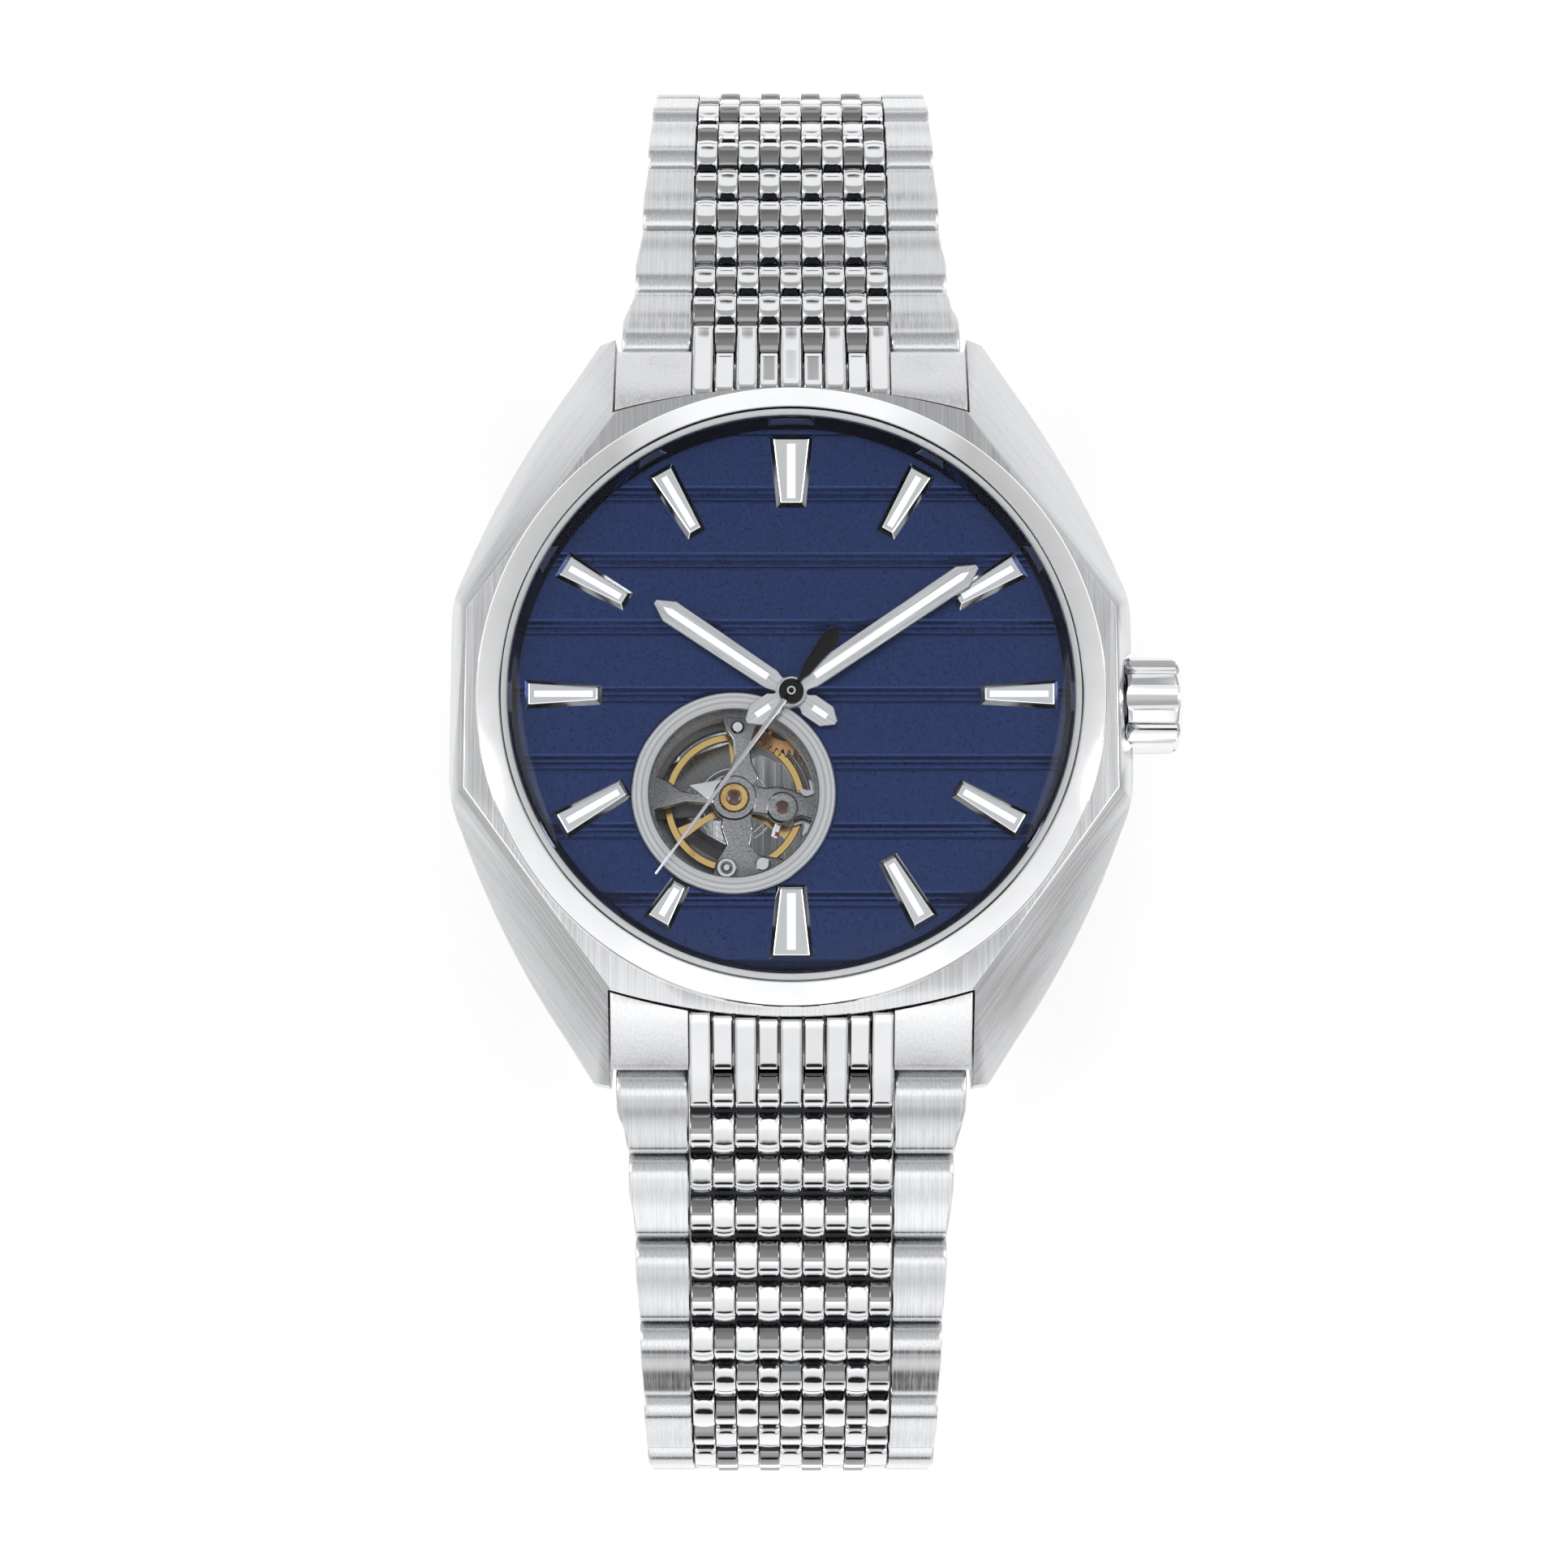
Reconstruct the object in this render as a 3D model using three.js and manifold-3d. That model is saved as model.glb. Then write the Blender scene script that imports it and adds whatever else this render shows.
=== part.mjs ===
// Open-heart automatic wristwatch on an integrated steel bracelet.
// Millimetres, +Z out of the dial, +Y toward twelve o'clock, +X toward the crown.
// The origin is the centre of the case back's outer face.
import * as THREE from 'three';
import { mergeVertices } from 'three/addons/utils/BufferGeometryUtils.js';
import Module from 'manifold-3d';

const wasm = await Module();
wasm.setup();

// ---- driving dimensions ----
const gap = 0.15; // clearance between neighbouring pieces
const caseHalfWidth = 21;
const caseBottom = 0.9;
const caseTop = 8;
const lugTipY = 23.6;
const lugInnerX = 11.1;
const ridge = { x: 19.78, y: 5.88 }; // where the shoulder ridge meets the flank
const ridgeAngle = THREE.MathUtils.degToRad(36.2); // direction in which each shoulder facet faces
const facetSlope = THREE.MathUtils.degToRad(42);
const sideFacet = { x: 20, slope: THREE.MathUtils.degToRad(50) }; // the narrow bevel along each flank
const caseBore = 16.6;
const bezelOuter = 19.2;
const bezelBore = 17.7;
const bezelTop = 10.2;
const crystalRadius = 17.2;
const dialTop = 8.6;
const dialThickness = 0.45;
const dialRadius = 17.5;
const marker = { inner: 11.6, shortInner: 13.4, outer: 16.3, height: 0.4 };
const narrowMarker = [0.65, 0.93]; // half widths at the inner and outer ends
const wideMarker = [0.92, 1.37];
const aperture = { x: -3.5, y: -6.1, inner: 5.15, outer: 6.2 };
const handAngles = { hour: 55.7, minute: -55.6, second: 144 }; // degrees anticlockwise from twelve
const crownZ = 4.9;
const crownRadius = 3;
const crownInner = 20.6;
const crownOuter = 24.1;
const movementRadius = 12.7;
const windowRadius = 12.4;
const plate = { bottom: 5.75, top: 7.3 };
const bridge = { bottom: 3.5, top: 4.2 };
const train = { low: 4.4, middle: 4.85, high: 5.35, thickness: 0.2 }; // the three layers of wheels
const arborRadius = 0.3;
const linkPitch = 5.8;
const linkHalfThickness = 1.3;
const firstPivot = { y: 23.5, z: 3.65 };
const endLinkSlope = 28; // degrees below horizontal
const linkSlopes = [33, 25, 29, 44, 61, 84, 110, 134, 154, 169, 178]; // the drape, from the case to the clasp
const beadPitch = 1.39; // nine columns of beads along the middle of the bracelet
const beadColumns = 9;

const steel = { color: 0xb9bcc0, metalness: 1, roughness: 0.3 };
const polishedSteel = { color: 0xd4d6d9, metalness: 1, roughness: 0.08 };
const blueDial = { color: 0x28386b, metalness: 0.8, roughness: 0.35 };
const brass = { color: 0xc29a4c, metalness: 1, roughness: 0.25 };
const gold = { color: 0xd9ae5a, metalness: 1, roughness: 0.15 };
const blastedSteel = { color: 0x8f9296, metalness: 0.9, roughness: 0.6 };
const glass = { color: 0xf2f6fa, metalness: 0, roughness: 0.02 };
const blackPlastic = { color: 0x1a1b1d, metalness: 0, roughness: 0.5 };
const greyNylon = { color: 0x9a9da1, metalness: 0, roughness: 0.5 };
const ruby = { color: 0x7a1631, metalness: 0, roughness: 0.1 };

const watch = new THREE.Group();

// ---- shape helpers ----
function toSolid(geometry) {
  const plain = geometry.clone();
  plain.deleteAttribute('normal');
  plain.deleteAttribute('uv');
  const merged = mergeVertices(plain, 1e-5);
  const index = merged.index.array;
  const triVerts = [];
  for (let i = 0; i < index.length; i += 3) {
    const [a, b, c] = [index[i], index[i + 1], index[i + 2]];
    if (a !== b && b !== c && c !== a) triVerts.push(a, b, c);
  }
  return new wasm.Manifold(new wasm.Mesh({
    numProp: 3,
    vertProperties: merged.attributes.position.array,
    triVerts: new Uint32Array(triVerts),
  }));
}

function toGeometry(solid) {
  const mesh = solid.getMesh();
  const geometry = new THREE.BufferGeometry();
  geometry.setAttribute('position', new THREE.BufferAttribute(mesh.vertProperties, 3));
  geometry.setIndex(new THREE.BufferAttribute(mesh.triVerts, 1));
  geometry.computeVertexNormals();
  return geometry;
}

function addMesh(name, shape, look, parent = watch) {
  const geometry = shape.isBufferGeometry ? shape : toGeometry(shape);
  const mesh = new THREE.Mesh(geometry, new THREE.MeshStandardMaterial(look));
  mesh.name = name;
  parent.add(mesh);
  return mesh;
}

// Turns a closed [radius, z] profile, listed anticlockwise, about the Z axis.
function turned(profile, segments = 36) {
  const points = [...profile, profile[0]].map(([r, z]) => new THREE.Vector2(r, z));
  const onAxis = profile[0][0] === 0 && profile[profile.length - 1][0] === 0;
  if (onAxis) points.pop();
  return toSolid(new THREE.LatheGeometry(points, segments).rotateX(Math.PI / 2));
}

function ring(inner, outer, bottom, top, segments = 36) {
  return turned([[inner, bottom], [outer, bottom], [outer, top], [inner, top]], segments);
}

function disc(radius, bottom, top, segments = 24) {
  return turned([[0, bottom], [radius, bottom], [radius, top], [0, top]], segments);
}

// Turns a stepped rod from [radius, top of the step] pairs, starting at the height `bottom`.
function steppedRod(bottom, steps, segments = 16) {
  const profile = [[0, bottom]];
  let z = bottom;
  for (const [radius, top] of steps) {
    profile.push([radius, z], [radius, top]);
    z = top;
  }
  profile.push([0, z]);
  return turned(profile, segments);
}

function slab(shape, bottom, top, curveSegments = 6) {
  const settings = { depth: top - bottom, bevelEnabled: false, curveSegments };
  const geometry = new THREE.ExtrudeGeometry(shape, settings);
  return toSolid(geometry.translate(0, 0, bottom));
}

function polygon(points) {
  return new THREE.Shape(points.map(([x, y]) => new THREE.Vector2(x, y)));
}

// Extrudes a [y, z] outline along X.
const sideways = new THREE.Matrix4().makeBasis(
  new THREE.Vector3(0, 1, 0),
  new THREE.Vector3(0, 0, 1),
  new THREE.Vector3(1, 0, 0),
);
function alongX(points, from, to) {
  const geometry = new THREE.ExtrudeGeometry(polygon(points), { depth: to - from, bevelEnabled: false });
  return toSolid(geometry.translate(0, 0, from).applyMatrix4(sideways));
}

function box(x0, x1, y0, y1, z0, z1) {
  const geometry = new THREE.BoxGeometry(x1 - x0, y1 - y0, z1 - z0);
  return toSolid(geometry.translate((x0 + x1) / 2, (y0 + y1) / 2, (z0 + z1) / 2));
}

// A rod along X at the crown's height.
function crownRod(radius, from, to, segments = 24) {
  const geometry = new THREE.CylinderGeometry(radius, radius, to - from, segments);
  return toSolid(geometry.rotateZ(-Math.PI / 2).translate((from + to) / 2, 0, crownZ));
}

function moved(solid, x, y, z = 0) {
  return solid.translate(x, y, z);
}

function spun(solid, degrees) {
  return solid.rotate(0, 0, degrees);
}

// ---- case ----
// One quarter of the outline: straight flank, rounded shoulder, long lug edge and rounded tip.
function quarterOutline() {
  const path = new THREE.Path();
  path.moveTo(caseHalfWidth, 0);
  path.lineTo(caseHalfWidth, 4.6);
  path.quadraticCurveTo(caseHalfWidth, 6.4, 20.25, 8.1);
  path.quadraticCurveTo(17.85, 14.9, 13.7, 20.9);
  path.quadraticCurveTo(12.6, 22.6, 12.1, lugTipY - 0.2);
  path.lineTo(lugInnerX, lugTipY);
  return path.getPoints(4).map((p) => [p.x, p.y]);
}

function caseOutline() {
  const upperRight = quarterOutline();
  const upperLeft = upperRight.map(([x, y]) => [-x, y]).reverse();
  const lowerLeft = upperRight.slice(1).map(([x, y]) => [-x, -y]);
  const lowerRight = upperRight.slice(1).map(([x, y]) => [x, -y]).reverse();
  return polygon([...upperRight, ...upperLeft, ...lowerLeft, ...lowerRight]);
}

// The space between two lugs, closed toward the dial by a shallow arc.
function lugSpace(halfWidth, cornerY, middleY, farY) {
  const shape = new THREE.Shape();
  shape.moveTo(-halfWidth, farY);
  shape.lineTo(-halfWidth, cornerY);
  shape.quadraticCurveTo(0, 2 * middleY - cornerY, halfWidth, cornerY);
  shape.lineTo(halfWidth, farY);
  return shape;
}

// Cuts everything above a plane that leaves the top face at the distance `start` and falls outward.
function facetCutter(start, slope) {
  const reach = 12;
  const wedge = polygon([
    [start, caseTop],
    [start + reach, caseTop - reach * Math.tan(slope)],
    [start + reach, caseTop + 2],
    [start, caseTop + 2],
  ]);
  const geometry = new THREE.ExtrudeGeometry(wedge, { depth: 60, bevelEnabled: false });
  return toSolid(geometry.translate(0, 0, -30).rotateX(Math.PI / 2));
}

function caseMiddle() {
  const space = slab(lugSpace(lugInnerX, 18, 19.6, 30), -1, caseTop + 1);
  const tipOutline = [[lugTipY - 1.2, caseBottom], [lugTipY + 1, caseBottom], [lugTipY + 1, 3.1]];
  const underBevel = alongX(tipOutline, -30, 30);
  let body = slab(caseOutline(), caseBottom, caseTop);
  for (const half of [0, 180]) {
    body = body.subtract(spun(space, half)).subtract(spun(underBevel, half));
  }
  const shoulder = facetCutter(ridge.x * Math.cos(ridgeAngle) + ridge.y * Math.sin(ridgeAngle), facetSlope);
  const facing = THREE.MathUtils.radToDeg(ridgeAngle);
  for (const angle of [facing, 180 - facing, 180 + facing, -facing]) {
    body = body.subtract(spun(shoulder, angle));
  }
  const flank = facetCutter(sideFacet.x, sideFacet.slope);
  for (const angle of [0, 180]) {
    body = body.subtract(spun(flank, angle));
  }
  return body
    .subtract(disc(caseBore, 0, caseTop + 1, 36))
    .subtract(disc(17.7, 0, 2.3, 36))
    .subtract(crownRod(1.5, caseBore - 1, 30))
    .subtract(crownRod(crownRadius + 0.5, crownInner - gap, 30));
}
addMesh('case_middle', caseMiddle(), steel);

addMesh('bezel', turned([
  [bezelBore, caseTop + 0.08],
  [bezelOuter, caseTop + 0.08],
  [bezelOuter, 9.3],
  [bezelOuter - 0.2, 9.5],
  [bezelBore + 0.1, bezelTop],
  [bezelBore, bezelTop - 0.1],
]), polishedSteel);

addMesh('crystal', turned([
  [0, 10.9],
  [crystalRadius * 0.6, 10.55],
  [crystalRadius, 9.9],
  [crystalRadius, 10.3],
  [crystalRadius - 0.3, 10.6],
  [crystalRadius * 0.6, 11.55],
  [0, 12],
]), glass);

addMesh('crystal_gasket', ring(crystalRadius + 0.05, bezelBore - 0.06, 9.9, bezelTop - 0.1), greyNylon);

addMesh('chapter_ring', turned([
  [dialRadius - 0.75, dialTop + 0.06],
  [dialRadius, dialTop + 0.06],
  [dialRadius, 9.8],
  [dialRadius - 0.25, 9.8],
]), polishedSteel);

// ---- dial, markers and aperture ring ----
// A faceted marker block: wide at its outer end, narrow toward the centre.
function hourMarker(inner, [innerHalfWidth, outerHalfWidth]) {
  const plan = polygon([
    [-innerHalfWidth, inner],
    [innerHalfWidth, inner],
    [outerHalfWidth, marker.outer],
    [-outerHalfWidth, marker.outer],
  ]);
  return slab(plan, dialTop - 0.1, dialTop + marker.height);
}

function dial() {
  let body = ring(0.8, dialRadius, dialTop - dialThickness, dialTop);
  for (let hour = 0; hour < 12; hour++) {
    const isWide = hour === 0 || hour === 6;
    const inner = hour === 7 ? marker.shortInner : marker.inner; // seven makes room for the opening
    body = body.add(spun(hourMarker(inner, isWide ? wideMarker : narrowMarker), -30 * hour));
  }
  const hole = disc(aperture.inner + 0.4, dialTop - 1, dialTop + 1, 36);
  const ringSeat = disc(aperture.outer + gap, dialTop, dialTop + 1, 36);
  return body.subtract(moved(hole.add(ringSeat), aperture.x, aperture.y));
}
addMesh('dial', dial(), blueDial);

const apertureRing = turned([
  [aperture.inner, dialTop - dialThickness],
  [aperture.inner + 0.3, dialTop - dialThickness],
  [aperture.inner + 0.3, dialTop + 0.06],
  [aperture.outer, dialTop + 0.06],
  [aperture.outer, dialTop + 0.25],
  [aperture.outer - 0.15, dialTop + 0.35],
  [aperture.inner + 0.15, dialTop + 0.35],
  [aperture.inner, dialTop + 0.2],
]);
addMesh('aperture_ring', moved(apertureRing, aperture.x, aperture.y), steel);

// ---- hands ----
// A parallel blade with blunt points at its tip and tail and a waist at the hub, lying along +Y.
function blade(length, tail, bottom, top) {
  const right = [
    [0.14, length],
    [0.74, length - 1.1],
    [0.66, 1.5],
    [0.5, 1],
    [0.5, -0.95],
    [0.74, -1.3],
    [0.74, -tail + 0.7],
    [0.14, -tail],
  ];
  const left = right.map(([x, y]) => [-x, y]);
  return slab(polygon([...left, ...right.reverse()]), bottom, top);
}

// A hand on a hollow pipe that reaches down through the dial.
function pipedHand(length, tail, bottom, top, pipeOuter, pipeInner) {
  const hub = disc(0.95, bottom, top, 20).add(disc(pipeOuter, plate.top + 0.1, bottom + 0.1, 16));
  const bore = disc(pipeInner, plate.top - 1, top + 1, 16);
  return blade(length, tail, bottom, top).add(hub).subtract(bore);
}

addMesh('hour_hand', spun(pipedHand(10.1, 3.3, 9.05, 9.27, 0.75, 0.6), handAngles.hour), steel);
addMesh('minute_hand', spun(pipedHand(13.8, 3.3, 9.47, 9.69, 0.5, 0.3), handAngles.minute), steel);

function secondHand() {
  const bottom = 9.89;
  const top = 10.09;
  const needle = polygon([[-0.16, 0], [0.16, 0], [0.07, 13.9], [-0.07, 13.9]]);
  const arrow = polygon([
    [-0.15, 0], [-0.52, -3.9], [-0.44, -4.35], [0, -4.95], [0.44, -4.35], [0.52, -3.9], [0.15, 0],
  ]);
  const post = disc(0.2, plate.top + 0.1, bottom + 0.1, 12);
  return slab(needle, bottom, top).add(slab(arrow, bottom, top)).add(disc(0.75, bottom, top, 20)).add(post);
}
addMesh('second_hand', spun(secondHand(), handAngles.second), steel);

// ---- movement ----
const wheelAt = {
  center: [0, 0],
  barrel: [-2.2, 5.05],
  third: [3.0, -2.1],
  fourth: [4.6, -5.1],
  escape: [1.9, -6.6],
  pallet: [-0.57, -6.9],
  balance: [aperture.x, aperture.y],
};

function mainplate() {
  const opening = moved(disc(4.95, 0, 9, 30), aperture.x, aperture.y);
  let body = disc(movementRadius, plate.bottom, plate.top, 36).subtract(opening);
  for (const angle of [0, 90]) {
    const bar = box(-0.55, 0.55, -5.2, 5.2, plate.bottom + 0.35, plate.top - 0.4);
    body = body.add(moved(spun(bar, angle), aperture.x, aperture.y));
  }
  const hub = disc(1.35, plate.bottom + 0.35, plate.top - 0.3, 24);
  body = body.add(moved(hub, aperture.x, aperture.y));
  const jewelHole = moved(disc(1.0, 0, 9, 24), aperture.x, aperture.y);
  return body.subtract(jewelHole).subtract(disc(0.6, 0, 9, 16));
}
addMesh('mainplate', mainplate(), blastedSteel);

const jewelSetting = turned([
  [0, plate.bottom + 0.3],
  [0.93, plate.bottom + 0.3],
  [0.93, plate.top - 0.2],
  [0.55, plate.top],
  [0.3, plate.top - 0.15],
  [0, plate.top - 0.15],
], 24);
addMesh('jewel_setting', moved(jewelSetting, aperture.x, aperture.y), ruby);

// A flat wheel: rim, three arms, and an arbor with its pinion between the plates.
function trainWheel(radius, level, pinionRadius, pinionBottom, pinionTop) {
  const top = level + train.thickness;
  let body = ring(radius * 0.78, radius, level, top, 18);
  for (let i = 0; i < 3; i++) {
    body = body.add(spun(box(-0.14, 0.14, 0, radius * 0.85, level, top), 120 * i));
  }
  const arbor = disc(arborRadius, bridge.top + 0.05, plate.bottom - 0.05, 8);
  return body.add(arbor).add(disc(pinionRadius, pinionBottom, pinionTop, 10));
}

function addWheel(name, where, solid, look) {
  addMesh(name, moved(solid, ...wheelAt[where]), look);
}

const centerWheel = trainWheel(3.2, train.high, 0.8, train.low - 0.05, train.low + 0.3)
  .add(disc(0.35, plate.bottom - 0.1, plate.top - 0.1, 12));
addWheel('center_wheel', 'center', centerWheel, brass);
const thirdWheel = trainWheel(2.85, train.middle, 0.38, train.high - 0.05, train.high + 0.25);
addWheel('third_wheel', 'third', thirdWheel, brass);
const fourthWheel = trainWheel(2.55, train.low, 0.38, train.low + 0.1, train.middle + 0.25);
addWheel('fourth_wheel', 'fourth', fourthWheel, brass);

// The escape wheel has long raked teeth that the pallets catch.
function escapeWheel() {
  const teeth = 15;
  const points = [];
  for (let i = 0; i < teeth; i++) {
    const start = (i * 2 * Math.PI) / teeth;
    const pitch = (2 * Math.PI) / teeth;
    points.push([1.45 * Math.cos(start), 1.45 * Math.sin(start)]);
    points.push([2.0 * Math.cos(start + 0.75 * pitch), 2.0 * Math.sin(start + 0.75 * pitch)]);
  }
  const top = train.high + train.thickness;
  const rim = slab(polygon(points), train.high, top).subtract(disc(1.1, train.high - 1, top + 1, 20));
  const arms = box(-1.2, 1.2, -0.15, 0.15, train.high, top).add(box(-0.15, 0.15, -1.2, 1.2, train.high, top));
  const arbor = disc(arborRadius, bridge.top + 0.05, plate.bottom - 0.05, 12);
  return rim.add(arms).add(arbor);
}
addWheel('escape_wheel', 'escape', escapeWheel(), steel);

const barrel = disc(4.6, train.low - 0.05, 5.2, 30).add(disc(1, 5.1, plate.bottom - 0.05, 16));
addWheel('barrel', 'barrel', barrel, brass);

// The pallet fork rocks between the escape wheel and the balance staff.
function palletFork() {
  const bottom = train.high;
  const top = train.high + train.thickness;
  const arms = box(-0.28, 0.12, -1.55, 1.55, bottom, top);
  const lever = box(-2.0, 0, -0.14, 0.14, bottom, top);
  const horns = box(-2.1, -1.8, -0.3, 0.3, bottom, top);
  const arbor = disc(0.22, bottom - 0.15, plate.bottom - 0.05, 12);
  return arms.add(lever).add(horns).add(arbor).rotate(0, 0, -15);
}
addWheel('pallet_fork', 'pallet', palletFork(), steel);

function balanceWheel() {
  const bottom = 4.6;
  const top = 5.0;
  let body = ring(3.86, 4.36, bottom, top, 30);
  for (let i = 0; i < 3; i++) {
    body = body.add(spun(box(-0.22, 0.22, 0, 4, bottom + 0.1, top - 0.1), 120 * i));
  }
  return body.add(steppedRod(4.0, [[0.25, 4.15], [0.45, 5.1], [0.3, plate.bottom + 0.2]], 12));
}
addWheel('balance_wheel', 'balance', balanceWheel(), gold);

// A flat spiral strip from the collet on the balance staff to the stud.
function hairspring() {
  class Spiral extends THREE.Curve {
    getPoint(t, target = new THREE.Vector3()) {
      const angle = t * 5 * 2 * Math.PI;
      const radius = 0.75 + 1.75 * t;
      return target.set(radius * Math.cos(angle), radius * Math.sin(angle), 4.35);
    }
  }
  const section = polygon([[-0.08, -0.05], [0.08, -0.05], [0.08, 0.05], [-0.08, 0.05]]);
  return new THREE.ExtrudeGeometry(section, { steps: 40, extrudePath: new Spiral() });
}
const spring = addMesh('hairspring', hairspring(), steel);
spring.position.set(aperture.x, aperture.y, 0);

// The cock reaches in from its foot at the rim and carries the lower end of the balance staff.
function balanceCock() {
  const reach = 5.4;
  const arm = box(-reach, 0, -0.8, 0.8, bridge.bottom, bridge.bottom + 0.35);
  const eye = disc(1.1, bridge.bottom, bridge.bottom + 0.35, 24);
  const foot = moved(disc(0.8, bridge.bottom, plate.bottom - 0.05, 20), -reach, 0);
  return arm.add(eye).add(foot);
}
addWheel('balance_cock', 'balance', balanceCock(), blastedSteel);

// The bridge covers the train and leaves the balance open.
function trainBridge() {
  const window = moved(disc(4.7, 0, 9, 30), aperture.x, aperture.y);
  const corner = box(-14, aperture.x, -14, aperture.y + 1.1, 0, 9);
  return disc(movementRadius - 0.4, bridge.bottom, bridge.top, 36).subtract(window).subtract(corner);
}
addMesh('train_bridge', trainBridge(), blastedSteel);

const rotorBottom = 2.3;
const rotorBearing = steppedRod(1.6, [[1.9, rotorBottom - 0.15], [1.3, bridge.bottom - 0.05]], 24);
addMesh('rotor_bearing', rotorBearing, steel);

// Half a disc with a heavy rim, turning on the bearing.
function rotor() {
  const web = disc(12, rotorBottom, rotorBottom + 0.3, 36);
  const rim = ring(10.4, 12.3, rotorBottom, bridge.bottom - 0.25);
  const lowerHalf = box(-14, 14, -14, -0.5, 0, 9);
  const hub = disc(2.6, rotorBottom, rotorBottom + 0.5, 24);
  return web.add(rim).intersect(lowerHalf).add(hub).subtract(disc(1.45, 0, 9, 24));
}
addMesh('rotor', spun(rotor(), 20), steel);

function movementRing() {
  const stemPath = crownRod(0.8, 12, 20);
  return ring(movementRadius + 0.2, caseBore - gap, 4, caseTop - 0.1).subtract(stemPath);
}
addMesh('movement_ring', movementRing(), blackPlastic);

// ---- case back ----
function caseBack() {
  let body = turned([
    [windowRadius + gap, 0],
    [16.9, 0],
    [17.5, 0.6],
    [17.5, 2.1],
    [windowRadius - 0.4, 2.1],
    [windowRadius - 0.4, 1.35],
    [windowRadius + gap, 1.35],
  ]);
  for (let i = 0; i < 6; i++) {
    body = body.subtract(spun(box(-0.9, 0.9, 15.6, 18, -1, 0.45), 60 * i));
  }
  return body;
}
addMesh('case_back', caseBack(), steel);
addMesh('back_window', disc(windowRadius, 0, 1.2, 36), glass);

// ---- crown ----
// Wide round flutes with flat ridges between them.
function crown() {
  const flutes = 8;
  const fluteShare = 0.62; // how much of the rim the flutes take
  const depth = 0.42;
  const steps = 6;
  const points = [];
  for (let i = 0; i < flutes * steps; i++) {
    const turn = i / steps;
    const across = ((turn % 1) - 0.5) / (fluteShare / 2);
    const dip = Math.max(0, 1 - across ** 2);
    const radius = crownRadius - depth * dip;
    const angle = (turn / flutes) * 2 * Math.PI;
    points.push([radius * Math.cos(angle), radius * Math.sin(angle)]);
  }
  const length = crownOuter - crownInner;
  const envelope = turned([
    [0, 0],
    [crownRadius - 0.35, 0],
    [crownRadius, 0.35],
    [crownRadius, length - 0.45],
    [crownRadius - 0.5, length],
    [0, length],
  ], 36);
  const shell = slab(polygon(points), 0, length).intersect(envelope)
    .subtract(disc(2.0, -1, 1.1, 24))
    .subtract(disc(0.55, 0, 2.0, 16));
  return shell.rotate(0, 90, 0).translate(crownInner, 0, crownZ);
}
addMesh('crown', crown(), polishedSteel);

addMesh('winding_stem', crownRod(0.42, 9, crownInner + 1.85, 16), steel);

const tube = crownRod(1.35, caseBore + 0.1, crownInner + 0.7, 24).subtract(crownRod(0.7, 10, 30, 16));
addMesh('crown_tube', tube, steel);

const seal = crownRod(1.9, crownInner + 0.2, crownInner + 0.6, 24).subtract(crownRod(1.45, 10, 30, 24));
addMesh('crown_gasket', seal, blackPlastic);

// ---- bracelet ----
// Column numbers run from -4 to 4. Even-numbered columns carry the outer knuckles of a link, odd-numbered
// columns and the side blocks carry its inner knuckles, so that neighbouring links interleave on their pin.
const columns = Array.from({ length: beadColumns }, (_, i) => i - (beadColumns - 1) / 2);
const beadHalf = (beadColumns * beadPitch) / 2;
const bodyStart = linkHalfThickness + gap;

const outerColumns = columns.filter((column) => column % 2 === 0);
const innerColumns = columns.filter((column) => column % 2 !== 0);

// A knuckle rounded about a pin at distance `pin`, running to the link's body at distance `root`.
function knuckle(pin, root, x0, x1, radius = linkHalfThickness) {
  const side = Math.sign(pin - root);
  const arc = [];
  for (let i = 0; i <= 3; i++) {
    const angle = Math.PI / 2 - (i * Math.PI) / 3;
    arc.push([pin + side * radius * Math.cos(angle), radius * Math.sin(angle)]);
  }
  const outline = [[root, radius], ...arc, [root, -radius]];
  return alongX(side > 0 ? outline.reverse() : outline, x0, x1);
}

function knuckles(chosen, pin, root) {
  return chosen.map((column) => knuckle(
    pin, root, (column - 0.5) * beadPitch + gap / 2, (column + 0.5) * beadPitch - gap / 2,
  ));
}

function joined(solids) {
  return solids.reduce((whole, piece) => whole.add(piece));
}

// A link from its inner pin at y = 0 to its outer pin at y = linkPitch, with its outer face toward +Z.
function link(halfWidth) {
  const root = bodyStart + 0.5;
  return joined([
    box(-halfWidth, halfWidth, bodyStart, linkPitch - bodyStart, -linkHalfThickness, linkHalfThickness),
    knuckle(0, root, -halfWidth, -beadHalf - gap / 2),
    knuckle(0, root, beadHalf + gap / 2, halfWidth),
    ...knuckles(innerColumns, 0, root),
    ...knuckles(outerColumns, linkPitch, linkPitch - root),
  ]);
}

// The width falls quickly over the first links and then settles.
function linkHalfWidth(index) {
  return 9.25 + 1.45 * 0.55 ** index;
}

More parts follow.
